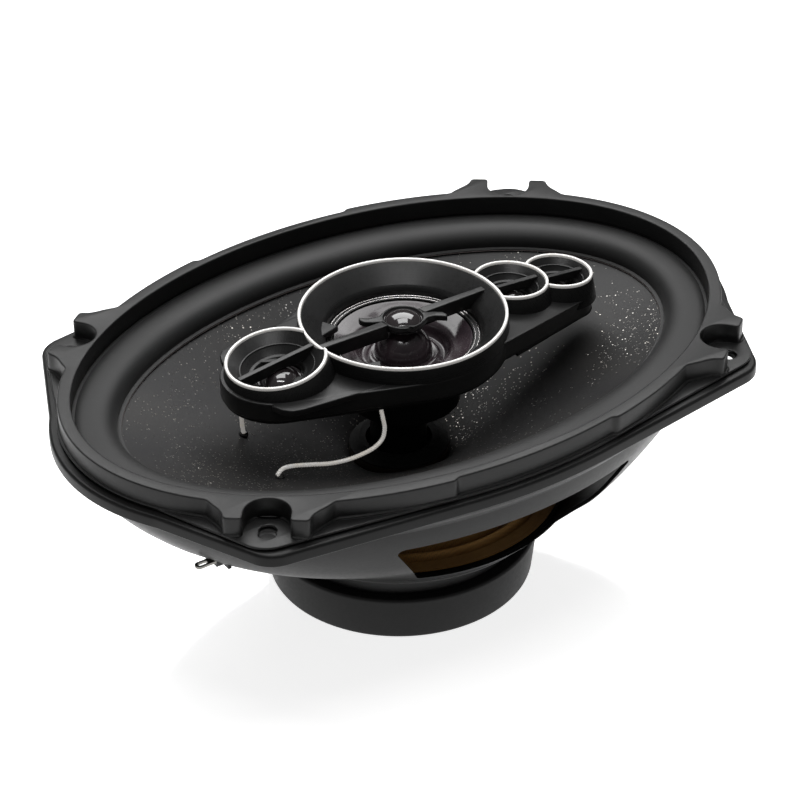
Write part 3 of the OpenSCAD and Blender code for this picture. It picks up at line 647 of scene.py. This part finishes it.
def rim_outline():
    """Raised rim's outer edge: the oval, stepped in on its long sides, two lugs round each screw pocket."""
    ao, bo = RIM_OUT
    arc = [(-1.1 + POCKET_R * math.cos(t), POCKET_R * math.sin(t))
           for t in np.linspace(-PI / 2, -3 * PI / 2, 25)]
    half = [(-8.8, -19.8), (-6.4, -18.4), (-4.2, -16.6), (-2.2, -14.6), (-0.2, -13.2), (2.6, -12.5),
            (2.6, -POCKET_R)]
    lug = half + arc + [(v, -u) for v, u in half[::-1]]
    lug = np.array([at_corner(v, u) for v, u in lug])
    ends = []
    for i, j in ((0, 1), (len(lug) - 1, len(lug) - 2)):
        lo, hi = lug[i], lug[j]
        for _ in range(40):
            mid = (lo + hi) / 2
            if (mid[0] / ao) ** 2 + (mid[1] / bo) ** 2 < 1:
                lo = mid
            else:
                hi = mid
        ends.append(hi)
    def part(a, b, low, high, n):
        t = np.linspace(low, high, n)
        return np.stack([a * np.cos(t), b * np.sin(t)], 1)

    t0, t1 = (math.atan2(p[1] / bo, p[0] / ao) for p in ends)
    ai, bi = ao - STEP_IN, bo - STEP_IN
    return mirrored(np.vstack([part(ao, bo, 0, t0, 80), lug[1:-1],
                               part(ao, bo, t1, math.acos(STEP_X / ao), 60),
                               part(ai, bi, math.acos((STEP_X - 0.9) / ai), PI / 2, 30)]))


def flat_ring(loop, z):
    return np.column_stack([loop, np.full(len(loop), z)])


def quarter_arc(n=5):
    t = np.linspace(0, PI / 2, n)
    return np.sin(t), 1 - np.cos(t)


# ---- gasket rim ----
def build_rim():
    """Raised rim, slotted lip, seat, and the foot that joins them."""
    outer = resampled(rim_outline(), 0.4, 0.8)
    raised = plate([outer, oval(*RIM_IN, 480)], LIP_HIGH - 0.1, RIM_Z, 0.5, 4)
    a = np.linspace(-PI / 2, PI / 2, 17)
    slot = [(k * (1 + SLOT_R * math.cos(t)), k * SLOT_R * math.sin(t)) for k in (1, -1) for t in a]
    slots = four_ways(np.array([at_corner(p, q) for p, q in slot]))
    lip_edge = resampled(eared_oval(*RIM_OUT, LIP_EAR_R, LIP_EAR), 0.6, 0.6)
    lip = plate([lip_edge, oval(*SEAT, 480), *slots], LIP_LOW, LIP_HIGH, 0.3, 3)
    seat = turned_oval([(*SEAT, FLANGE_Z), (*RIM_OUT, FLANGE_Z), (*RIM_OUT, FLANGE_Z + 1),
                        (*SEAT, FLANGE_Z + 1)])
    foot = plate([resampled(rim_outline(), 0.5, 1.2) * np.array([1.006, 1.008]), oval(*SEAT, 480)],
                 LIP_HIGH - 0.2, LIP_HIGH + 0.55, 0.35, 3)
    finish_mesh("gasket_rim_moulding", mesh_of([raised, lip, seat, foot]), RIM, "frame",
                ["gasket_rim"], 32)


def turned_oval(section, n=360):
    """Ring swept round the speaker's axis from (half length, half width, z) points."""
    return grid([flat_ring(oval(a, b, n), z) for a, b, z in section], along=True)


# ---- basket ----
def window_prism(low, top, top_z, along_x):
    """Rounded wedge that cuts one pair of windows, as two separate prisms."""
    loop = rounded([(-low, WINDOW_LOW), (low, WINDOW_LOW), (top, top_z), (-top, top_z)], 1.8, 6)
    n, out, across = len(loop), [], 0 if along_x else 1
    for sign in (1, -1):
        points, faces = grid([np.insert(loop, across, depth * sign, axis=1) for depth in (30, 150)])
        out.append((points, faces + [tuple(range(n)), tuple(range(2 * n - 1, n - 1, -1))]))
    return out


def build_basket():
    """Bowl with four windows, flange and skirt, spider ledge and terminal tab."""
    outer = [tuple(p) for p in smooth_line(BOWL, 44)]
    bend = 1.9
    corner = [(FLOOR_R - bend * (1 - math.sin(t)), FLOOR_Z + bend * (1 - math.cos(t)))
              for t in np.linspace(0, PI / 2, 7)][:-1]
    floor_low = [(17.4, FLOOR_Z + 0.2), (17.6, FLOOR_Z), (30, FLOOR_Z)]
    inner = [(a - SHEET, b - SHEET, z + 0.3) for a, b, z in outer[::-1] if z > 28.5]
    top = FLOOR_Z + SHEET
    floor_high = [(46.6, top + 0.8), (45.6, top), (30, top), (17.6, top), (17.4, top - 0.2)]
    round_low, round_high = ([(r, r, z) for r, z in part] for part in (floor_low + corner, floor_high))
    bowl = mesh_of([turned_oval(round_low + outer + inner + round_high, 288)])
    bowl = cut(bowl, window_prism(*LONG_WINDOW, False) + window_prism(*END_WINDOW, True), "bowl")

    edge = resampled(eared_oval(*FLANGE, EAR_R, EAR), 0.7, 0.6)
    out_n = outward(edge)
    across, down = quarter_arc(6)
    r, deep = 1.1, 5.5
    rings = [flat_ring(edge - out_n * deep, FLANGE_Z)]
    for x, y in zip(across, down):
        rings.append(flat_ring(edge - out_n * r * (1 - x), FLANGE_Z - r * y))
    for off, z in ((0, SKIRT_Z + 0.25), (0.2, SKIRT_Z), (1.0, SKIRT_Z), (SHEET, SKIRT_Z + 0.25),
                   (SHEET, FLANGE_Z - SHEET - 0.5), (SHEET + 0.5, FLANGE_Z - SHEET), (deep, FLANGE_Z - SHEET)):
        rings.append(flat_ring(edge - out_n * off, z))
    strip = grid(rings, along=True)
    holes = [circle(sx * HOLE[0], sy * HOLE[1], HOLE_R, 40) for sx in (1, -1) for sy in (1, -1)]
    shelf = plate([edge - out_n * (deep - 0.15), oval(SHELF[0] - 6, SHELF[1] - 6, 480), *holes],
                  FLANGE_Z - SHEET + 0.01, FLANGE_Z - 0.01, 0.15, 2)
    flare = turned_oval([(106.6, 74, 68), (109.0, 76.5, 70.6), (110.9, 78.6, 72.8), (111.6, 79.4, 74.6),
                         (111.6, 79.4, 77.3), (110, 76, 77.3)])
    ledge = turned(rounded([(48.4, 31), (52.9, 31), (52.9, 32.2), (48.4, 32.2)], [0.3, 0, 0, 0.3], 3), 160)
    tab = slab(TAB_X, TAB_X + SHEET, *TAB_Y, 47.9, TAB_TOP)
    ys = np.linspace(*TAB_Y, 12)
    reach = [(-TAB_OVAL[0] * math.sqrt(1 - (y / TAB_OVAL[1]) ** 2), y) for y in ys]
    roof = plate([np.array([(TAB_X + SHEET, y) for y in TAB_Y] + reach[::-1])], TAB_TOP - SHEET, TAB_TOP, 0.25)

    finish_mesh("basket_pressing", mesh_of([parts_of(bowl), strip, flare, shelf, ledge, tab, roof]), BASKET,
                "frame", ["basket"], 32)


# ---- motor ----
def build_boot():
    profile = rounded([(30, 0), (42.6, 0), (44.4, 15.2), (43.8, 16), (40.2, 16), (40.2, 1.2), (30, 1.2)],
                      [0.4, 1.6, 0.8, 0.5, 0.3, 0.3, 0.3], 5)
    finish_mesh("magnet_boot_moulding", mesh_of([turned(profile, 192)]), BOOT, "frame",
                ["magnet_boot"], 40)


# ---- bridge ----
def arc(x, r, turn):
    return np.stack([x + r * np.cos(turn), r * np.sin(turn)], 1)


def capsule(x1, r1, x2, r2, n=64):
    """Outline round two circles on the X axis."""
    t = math.acos((r1 - r2) / (x2 - x1))
    a = np.linspace(t, 2 * PI - t, n)
    b = np.linspace(-t, t, n)
    return np.vstack([arc(x1, r1, a), arc(x2, r2, b)])


def cup_profile(cup):
    """Section of a small cup: outside wall, lip under the trim ring, stepped inside, throat."""
    _, _, r, _, depth, dome = cup
    inner, throat = r - TRIM_W / 2, dome + 2.6
    step = (inner * 0.45 + throat * 0.55, -depth * 0.55)
    outline = [(r + 2.4, -8), (r + TRIM_W / 2, -TRIM_H / 2), (r - 0.2, -TRIM_H / 2), (inner, -0.35),
               step, (step[0] - 0.35, step[1] - 0.06), (step[0] - 0.40, step[1] - 0.42), (throat, -depth),
               (throat - 0.9, -depth - 0.25), (dome + 1.3, -depth - 1.2), (dome + 1.2, -8)]
    return rounded(outline, [0.2, 0.3, 0.1, 0.2, 0.1, 0.1, 0.1, 0.45, 0.3, 0.2, 0.1], 4)


def main_block():
    """The round space the main cup takes up, as a cutter."""
    r = MAIN_WALL_R + 0.05
    return turned([(0, 70), (r, 70), (r, 104), (0, 104)], 256, closed=False, x=MAIN_X)


def inner_block():
    """The same for the inner small cup."""
    r = CUPS["inner"][2]
    clear = r + TRIM_W / 2 + 0.05
    profile = [(0, -9), (r + 2.55, -9), (clear, -TRIM_H / 2), (clear, 9), (0, 9)]
    return turned(profile, 160, closed=False, place=placed(CUPS["inner"]))


def clipped(part, name):
    """A small cup's wall or trim ring, ended at the wall of its larger neighbour."""
    return parts_of(cut(mesh_of([part]), [inner_block() if name == "outer" else main_block()], name))


def build_bridge():
    """Deck with its visors and wing, and the walls of the four cups."""
    lip = MAIN_Z - TRIM_H / 2
    main = rounded([(MAIN_WALL_R, TUB_Z), (MAIN_WALL_R - 0.15, lip), (31.9, lip), (31.6, MAIN_Z - 0.4),
                    (25.4, 88.1), (24.9, 87.5), (24.4, 86.6), (24.4, 84.2), (22.3, 84.2), (22.0, 83.8),
                    (22.0, TUB_Z)], [0.3, 0.3, 0.1, 0.2, 0.5, 0.3, 0.3, 0.2, 0.2, 0.2, 0.2], 4)
    main_part = turned(main, 256, x=MAIN_X)
    left_x, inner_x, outer_x = (CUPS[name][0] for name in ("left", "inner", "outer"))
    tub = plate([resampled(capsule(left_x, TUB_END_R, MAIN_X, MAIN_WALL_R), 0.8, 0.0),
                 circle(MAIN_X, 0, 30, 128), circle(left_x, 0, 12.5)], TUB_Z, DECK_Z, 0.45, 3)
    visor = rounded([(-20, 24.5), (-47.5, 21.6), (-50.8, 20.6), (-53.2, 18.2), (-54.6, 14.5), (-40, 5),
                     (-14, 12)], [0.2, 3, 2, 2, 0.6, 0.2, 0.2], 4)
    visors = [plate([(visor * np.array([1, s]))[::s]], DECK_Z - 2, DECK_Z + 0.06, 0.35, 3) for s in (1, -1)]
    t = math.acos((MAIN_WALL_R - WING_END_R) / (outer_x - MAIN_X))
    tip, root = np.linspace(-t, t, 48), np.linspace(t + 0.05, -t - 0.05, 72)
    deck = np.vstack([arc(outer_x, WING_END_R, tip), arc(MAIN_X, 31.3, root)])
    wing = plate([resampled(deck, 0.7, 0.25), circle(inner_x + 1.2, 0, 6.6), circle(outer_x - 0.2, 0, 6.2)],
                 TUB_Z, DECK_Z, 0.45, 3, wing_tilted)
    cups = [clipped(turned(cup_profile(c), 160, place=placed(c)), name) for name, c in CUPS.items()]
    finish_mesh("bridge_moulding", mesh_of([tub, *visors, wing]), BRIDGE, "frame",
                ["bridge_body"], 32)
    finish_mesh("bridge_cup_walls", mesh_of([main_part, *cups]), CUP, "frame", (), 32)


def build_trims():
    """Bright ring on each cup."""
    section = [(-TRIM_W / 2, -TRIM_H / 2), (TRIM_W / 2, -TRIM_H / 2), (TRIM_W / 2, 0.05)]
    section += [(TRIM_W / 2 * math.cos(t), 0.05 + 0.45 * math.sin(t)) for t in np.linspace(0.2, PI - 0.2, 9)]
    section += [(-TRIM_W / 2, 0.05)]
    main = turned([(MAIN_R + x, MAIN_Z + z) for x, z in section], 256, x=MAIN_X)
    finish_mesh("main_trim_ring", mesh_of([main]), TRIM, "frame", ["main_trim"], 50)
    for name, cup in CUPS.items():
        ring = clipped(turned([(cup[2] + x, z) for x, z in section], 160, place=placed(cup)), name)
        finish_mesh(name + "_trim_ring", mesh_of([ring]), TRIM, "frame", [name + "_trim"], 50)


def build_hub():
    """Hub with two arms; a fin sweeps from the far side of the ring towards each arm, as an S."""
    turn = np.linspace(math.radians(100), math.radians(14), 22)
    right = [(HUB_R * math.cos(t), HUB_R * math.sin(t)) for t in turn]
    fin = [(7.4, -1.6), (9.4, -2.6), (11.8, -4.4), (12.2, -6.2), (11.6, -7.6), (10.6, -6.6), (8.6, -5.0),
           (6.0, -4.6), (4.2, -5.6), (2.0, -6.6), (0.0, -HUB_R)]
    half = np.array(right + fin)
    outline = np.vstack([half, -half[1:-1]])[::-1]
    outline = resampled(outline, 0.25, 0.3) + np.array([MAIN_X, 0])
    head = plate([outline, circle(MAIN_X, 0, 6.1, 72)], HUB_TOP - 2.0, HUB_TOP, 0.4, 4)
    arms = []
    for s in (1, -1):
        loop = np.array([(6.4, -1.55), (31.0, -1.2), (31.0, 1.2), (6.4, 1.55)]) * s + np.array([MAIN_X, 0])
        arms.append(plate([rounded(loop, 0.3, 3)], HUB_TOP - 5, HUB_TOP - 0.02, 0.3, 3))
    skirt = [(6.0, -1.2), (6.6, -1.2), (6.8, -2.4), (6.4, -2.6), (5.4, -2.4), (5.4, -1.6)]
    skirt = turned(rounded([(x, HUB_TOP + z) for x, z in skirt], 0.15, 3), 96, x=MAIN_X)
    finish_mesh("hub_moulding", mesh_of([head, skirt, *arms]), HUB, "frame", ["center_hub"], 32)


def dome_section(r, h, rim):
    """Closed section of a thin dome with a small rolled edge."""
    ball = (r * r + h * h) / (2 * h)
    top = math.asin(min(1.0, r / ball))
    outer = [(ball * math.sin(a), h - ball + ball * math.cos(a)) for a in np.linspace(0, top, 26)]
    edge = [(r + rim * 0.5, 0.25), (r + rim, 0.0), (r + rim * 0.6, -0.2)]
    under = ball - DOME_THICK
    inner = [(max(0.0, under * math.sin(a)), h - ball + under * math.cos(a)) for a in np.linspace(top, 0, 14)]
    return outer + edge + inner


def build_domes():
    """Films of the centre dome and of the three small domes."""
    lens = turned([(r, HUB_TOP - 1 + z) for r, z in dome_section(5.9, 2.5, 0.5)], 96, closed=False,
                  x=MAIN_X)
    finish_mesh("center_dome_film", mesh_of([lens]), DOME, "center_tweeter", ["center_dome"], 60)
    for name, cup in CUPS.items():
        r = cup[5]
        low = -cup[4] - 2.6
        body = turned([(x, low + z) for x, z in dome_section(r, 0.55 * r, 0.7)], 96, closed=False,
                      place=placed(cup))
        finish_mesh(name + "_dome_film", mesh_of([body]), DOME, name + "_tweeter",
                    [name + "_dome"], 60)


def build_mid():
    """Diaphragm with a ball-shaped centre, a roll and a flared skirt, and the ring that clamps it."""
    def ball(r, turn):
        return [(r * math.sin(a), BALL_Z + r * math.cos(a)) for a in turn]

    sweep = smooth_line([(9.5, 78.85), (10.6, 79.0), (12.6, 77.9), (13.7, 78.7), (15.0, 81.5), (18.2, 83.2),
                         (21.0, 84.25), (21.6, 84.4)], 40)
    under = smooth_line([(21.6, 83.9), (18.4, 82.5), (15.5, 80.9), (14.3, 78.0), (12.6, 77.2), (9.7, 78.55),
                         (8.7, 78.6)], 28)
    profile = ball(BALL_R, np.linspace(0, PI / 2, 36)) + [tuple(p) for p in np.vstack([sweep, under])]
    profile += ball(BALL_R - 0.5, np.linspace(PI / 2, 0, 20))
    cone = turned(profile, 160, closed=False, x=MAIN_X)
    finish_mesh("mid_cone_film", mesh_of([cone]), MIDFILM, "midrange", ["mid_diaphragm"], 40)
    base = rounded([(21.9, 84.65), (24.35, 84.65), (24.35, 85.0), (21.9, 85.0)], 0.1, 2)
    base = turned(base, 160, x=MAIN_X)
    turn = np.linspace(0, 2 * PI, 10, endpoint=False)
    lines = [turned([(r + w * math.cos(t), 85.05 + w * math.sin(t)) for t in turn], 160, x=MAIN_X)
             for r, w in ((22.5, 0.13), (23.7, 0.15))]
    finish_mesh("mid_ring_base", mesh_of([base]), UNDER, "frame", ["mid_ring"], 40)
    finish_mesh("mid_ring_lines", mesh_of(lines), SILVER, "frame", (), 60)


# ---- woofer ----
def cone_point(t, drop=0.0):
    return (FORMER_R + (CONE_EDGE[0] - FORMER_R) * t, FORMER_R + (CONE_EDGE[1] - FORMER_R) * t,
            CONE_NECK_Z + (CONE_EDGE_Z - CONE_NECK_Z) * t ** 0.75 - drop)


def build_cone():
    """Cone, and the bead round its edge."""
    front = [cone_point(t ** 1.3) for t in np.linspace(0, 1, 56)]
    edge = [(CONE_EDGE[0] + 0.2, CONE_EDGE[1] + 0.2, CONE_EDGE_Z - drop) for drop in (0.2, 0.6)]
    back = [cone_point(t ** 1.3, 0.8) for t in np.linspace(1, 0, 30)]
    shell = turned_oval(front + edge + back, 320)
    finish_mesh("cone_paper", mesh_of([shell]), CONE, "woofer", ["cone"], 50)
    bead = [(93.5 + 0.2 * math.cos(a), 57.7 + 0.2 * math.cos(a), 74.2 + 0.18 * math.sin(a))
            for a in np.linspace(0, 2 * PI, 8, endpoint=False)]
    finish_mesh("cone_edge_bead", mesh_of([turned_oval(bead, 320)]), BEAD, "woofer", (), 60)


def build_surround():
    """Half roll that stretches between the cone's edge and the rim."""
    roll_in = np.array([94.6, 58.8, 74.4])
    roll_out = np.array([107.2, 72.9, FLANGE_Z + 0.2])
    q = np.linspace(0, 1, 46)
    base = roll_in + (roll_out - roll_in) * ((1 - np.cos(PI * q)) / 2)[:, None]
    rise = 0.5 + 0.5 * np.tanh((q - 0.5) / 0.16)
    foot = roll_in[2] + (roll_out[2] - roll_in[2]) * rise
    base[:, 2] = foot + (CREST - foot) * np.sin(PI * q) ** 0.9
    top = [(93.4, 57.6, 74.6), (94.2, 58.4, 74.62), *(base + np.array([0, 0, 0.42])), (108.6, 74.4, 79.2),
           (109.8, 75.8, 79.2)]
    k = (1 - 2 * q)[:, None]
    low = base - np.hstack([-0.6 * k, -0.6 * k, np.where((q[:, None] == 0) | (q[:, None] == 1), 0.0, 0.35)])
    low = [(93.4, 57.6, 74.3), *low, (109.8, 75.8, 78.6)]
    ob = finish_mesh("surround_roll", mesh_of([turned_oval([*top, *low[::-1]], 320)]), RUBBER, None,
                     ["surround"], 60)
    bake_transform(ob)


def build_spider():
    """Corrugated disc, built as eight separate sectors."""
    first, last, waves, height = 20, 48, 7, 1.3
    wave = [(first + (last - first) * s, SPIDER_Z + height * math.sin(s * (2 * waves) * PI))
            for s in np.linspace(0, 1, waves * 12 + 1)]
    upper = [(15.85, 35.0), (16.6, 34.1), (17.6, 33.7)] + wave + [(49.6, 33.1), (52, 33.0)]
    lower = [(r, z - 0.45) for r, z in upper[::-1]]
    sectors = 8
    for k in range(sectors):
        mid = 2 * PI * (k + 0.5) / sectors
        half = PI / sectors
        part = turned(upper + lower, 25, low=mid - half, high=mid + half)
        ob = finish_mesh("spider_sector_%d" % (k + 1), mesh_of([part]), CLOTH, None,
                         ["spider"] if k == 0 else (), 60)
        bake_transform(ob)


def blob(centre, r, seed):
    """Small, slightly flattened lump of set glue."""
    flat, n = 0.8, 20
    rng = np.random.default_rng(seed)
    lobes = rng.normal(size=(5, 3))
    rings = []
    for j in range(1, n):
        a = PI * j / n
        row = []
        for i in range(2 * n):
            b = PI * i / n
            d = np.array([math.sin(a) * math.cos(b), math.sin(a) * math.sin(b), math.cos(a)])
            w = 1 + 0.05 * sum(math.sin(3 * float(d @ l)) for l in lobes)
            row.append(np.array(centre) + r * w * d * np.array([1, 1, flat]))
        rings.append(row)
    points, faces = grid(rings)
    m = 2 * n
    faces += [tuple(range(m))[::-1], tuple(range(len(points) - m, len(points)))]
    return points, faces


# Routes of the leads, in millimetres
FRONT_LEAD = [(-22.5, -25, 80.3), (-22.3, -25.6, 77.5), (-22, -26, 74), (-22.8, -26, 70.5), (-25.5, -25.6, 68),
              (-29.5, -24.6, 66.4), (-34, -23.2, 65.3), (-39, -21.2, 64.8), (-44, -18.8, 65),
              (-48.5, -17.4, 65.6), (-52, -17.2, 66.2), (-53.8, -17.6, 66.3), (-55, -17.8, 65.7),
              (-55.4, -17.6, 64.9)]
REAR_LEAD = [(-58.4, -2.8, 80.3), (-58, -1.8, 78.4), (-57, -0.2, 76), (-55.4, 2.6, 72.4), (-53.2, 6.2, 68.2),
             (-51.2, 9.6, 64.6), (-50, 11.4, 62.4)]
COIL_LEAD = [(-79.8, -17.9, 49.9), (-76, -17.9, 48.2), (-71.6, -17.8, 47.2), (-65, -17, 47.2), (-57, -14.8, 49),
             (-50, -12.8, 51.4), (-45, -11.4, 53.6), (-42, -10.6, 54.6)]
LEAD_R = 0.55


def build_leads():
    for name, route, count, start, end in (
            ("front_lead", FRONT_LEAD, 160, (0, 0, 0.0785), (0, 0, 0.0668)),
            ("rear_lead", REAR_LEAD, 60, (0, 0, 0.0790), (0, 0, 0.0640))):
        line = smooth_line(route, count)
        ob = finish_mesh(name + "_braid", mesh_of(braid(line, LEAD_R * 1.2)), TINSEL, None,
                         [name], 60)
        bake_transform(ob)
    for k, shift in enumerate((0, -8)):
        line = smooth_line(np.array(COIL_LEAD) + np.array([0, shift, 0]), 110)
        ob = finish_mesh("coil_lead_%d" % (k + 1), mesh_of(braid(line, LEAD_R)), TINSEL, None,
                         ["coil_leads"] if k == 0 else (), 60)
        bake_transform(ob)


def build_glue():
    spots = [blob((-54.4, -17.1, 63.4), 1.45, 3), blob((-49.6, 12.2, 60.9), 1.5, 5)]
    finish_mesh("lead_glue_beads", mesh_of(spots), GLUE, "woofer", ["lead_glue"], 60)


# ---- carried-over CAD nodes ----
def dress_nodes():
    looks = {STEEL: ["yoke", "plate_rivets", "terminal_rivets", "post_bolt", "center_magnet", "tweeter_magnets",
                     "mid_yoke", "top_plate"],
             FERRITE: ["magnet", "mid_magnet"], BOARD: ["terminal_board"],
             TINNED: ["wide_terminal", "narrow_terminal"],
             UNDER: ["bridge_post", "mid_housing", "bridge_cover"], HUB: ["left_bar", "inner_bar", "outer_bar"],
             SLEEVE: ["crossover_capacitors"], FELT: ["dust_shield"], FORMER: ["coil_former"],
             COPPER: ["voice_coil", "mid_coil"]}
    for material, names in looks.items():
        for name in names:
            paint(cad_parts[name].data, material)


# ---- stage: floor, light, camera ----
def build_stage():
    bm = bmesh.new()
    bmesh.ops.create_grid(bm, x_segments=24, y_segments=24, size=4.0)
    mesh = bpy.data.meshes.new("floor")
    bm.to_mesh(mesh)
    bm.free()
    n = Nodes("floor_paint")
    soft = n.noise(3, 2)
    n.put(Base_Color=n.mottle(soft, (0.93, 0.93, 0.93), (0.95, 0.95, 0.95)),
          Roughness=n.span(soft, 0.3, 0.7, 0.06, 0.08), Specular_IOR_Level=1.0, Emission_Strength=0.84,
          Emission_Color=(1.0, 1.0, 1.0), Coat_Weight=0.6, Coat_Roughness=0.12)
    mesh.materials.append(n.m)
    floor = add("floor", mesh)

    world = bpy.data.worlds.new("studio")
    bpy.context.scene.world = world
    world.use_nodes = True
    t = world.node_tree
    coords = t.nodes.new("ShaderNodeTexCoord").outputs["Generated"]
    parts = t.nodes.new("ShaderNodeSeparateXYZ")
    t.links.new(coords, parts.inputs[0])
    ramp = t.nodes.new("ShaderNodeValToRGB")
    t.links.new(parts.outputs["Z"], ramp.inputs[0])
    stops = ramp.color_ramp.elements
    stops[0].position, stops[0].color = 0.0, (0.3, 0.3, 0.3, 1)
    stops[1].position, stops[1].color = 1.0, (1.0, 1.0, 1.0, 1)
    middle = stops.new(0.45)
    middle.color = (0.5, 0.5, 0.5, 1)
    t.links.new(ramp.outputs[0], t.nodes["Background"].inputs["Color"])
    t.nodes["Background"].inputs["Strength"].default_value = 0.22

    def area(name, place, aim, wide, tall, power):
        light = bpy.data.lights.new(name, "AREA")
        light.shape, light.size, light.size_y, light.energy = "RECTANGLE", wide, tall, power
        ob = add(name, light)
        ob.location = place
        ob.rotation_mode = "QUATERNION"
        ob.rotation_quaternion = (Vector(aim) - Vector(place)).to_track_quat("-Z", "Y")

    area("back_softbox", (0.5, 0.8, 1.2), (0, 0, 0.05), 1.6, 0.9, 21)
    area("top_softbox", (0.1, 0.2, 1.5), (0, 0, 0.05), 0.9, 0.6, 9)
    area("left_softbox", (-1.35, 0.45, 0.45), (0, 0, 0.06), 0.6, 0.5, 0.5)
    area("top_strip", (-0.25, -0.35, 1.3), (0, 0, 0.08), 0.7, 0.1, 3)


# Photo's camera: focal length in mm, lens shift, azimuth, elevation and roll in degrees, distance in metres
LENS, LENS_SHIFT, VIEW_TURN, VIEW_FAR = 137.71, (0.0016, 0.0386), (-33.02, 34.05, -0.85), 0.97093


def build_camera():
    data = bpy.data.cameras.new("camera")
    data.lens, data.sensor_width = LENS, 36
    data.shift_x, data.shift_y = LENS_SHIFT
    data.clip_start, data.clip_end = 0.05, 20
    az, el, roll = (math.radians(x) for x in VIEW_TURN)
    back = Vector((math.sin(az) * math.cos(el), -math.cos(az) * math.cos(el), math.sin(el)))
    right = Vector((math.cos(az), math.sin(az), 0))
    up = back.cross(right)
    x = right * math.cos(roll) + up * math.sin(roll)
    y = -right * math.sin(roll) + up * math.cos(roll)
    ob = add("camera", data)
    turn = Matrix((x, y, back)).transposed().to_4x4()
    ob.matrix_world = Matrix.Translation(Vector((0, 0, 0.05)) + back * VIEW_FAR) @ turn
    bpy.context.scene.camera = ob


build_camera()
build_stage()
build_basket()
build_rim()
build_boot()
build_bridge()
build_trims()
build_hub()
build_domes()
build_mid()
build_cone()
build_surround()
build_spider()
build_leads()
build_glue()
dress_nodes()

view = bpy.context.scene.view_settings
view.view_transform, view.look = "Standard", "None"
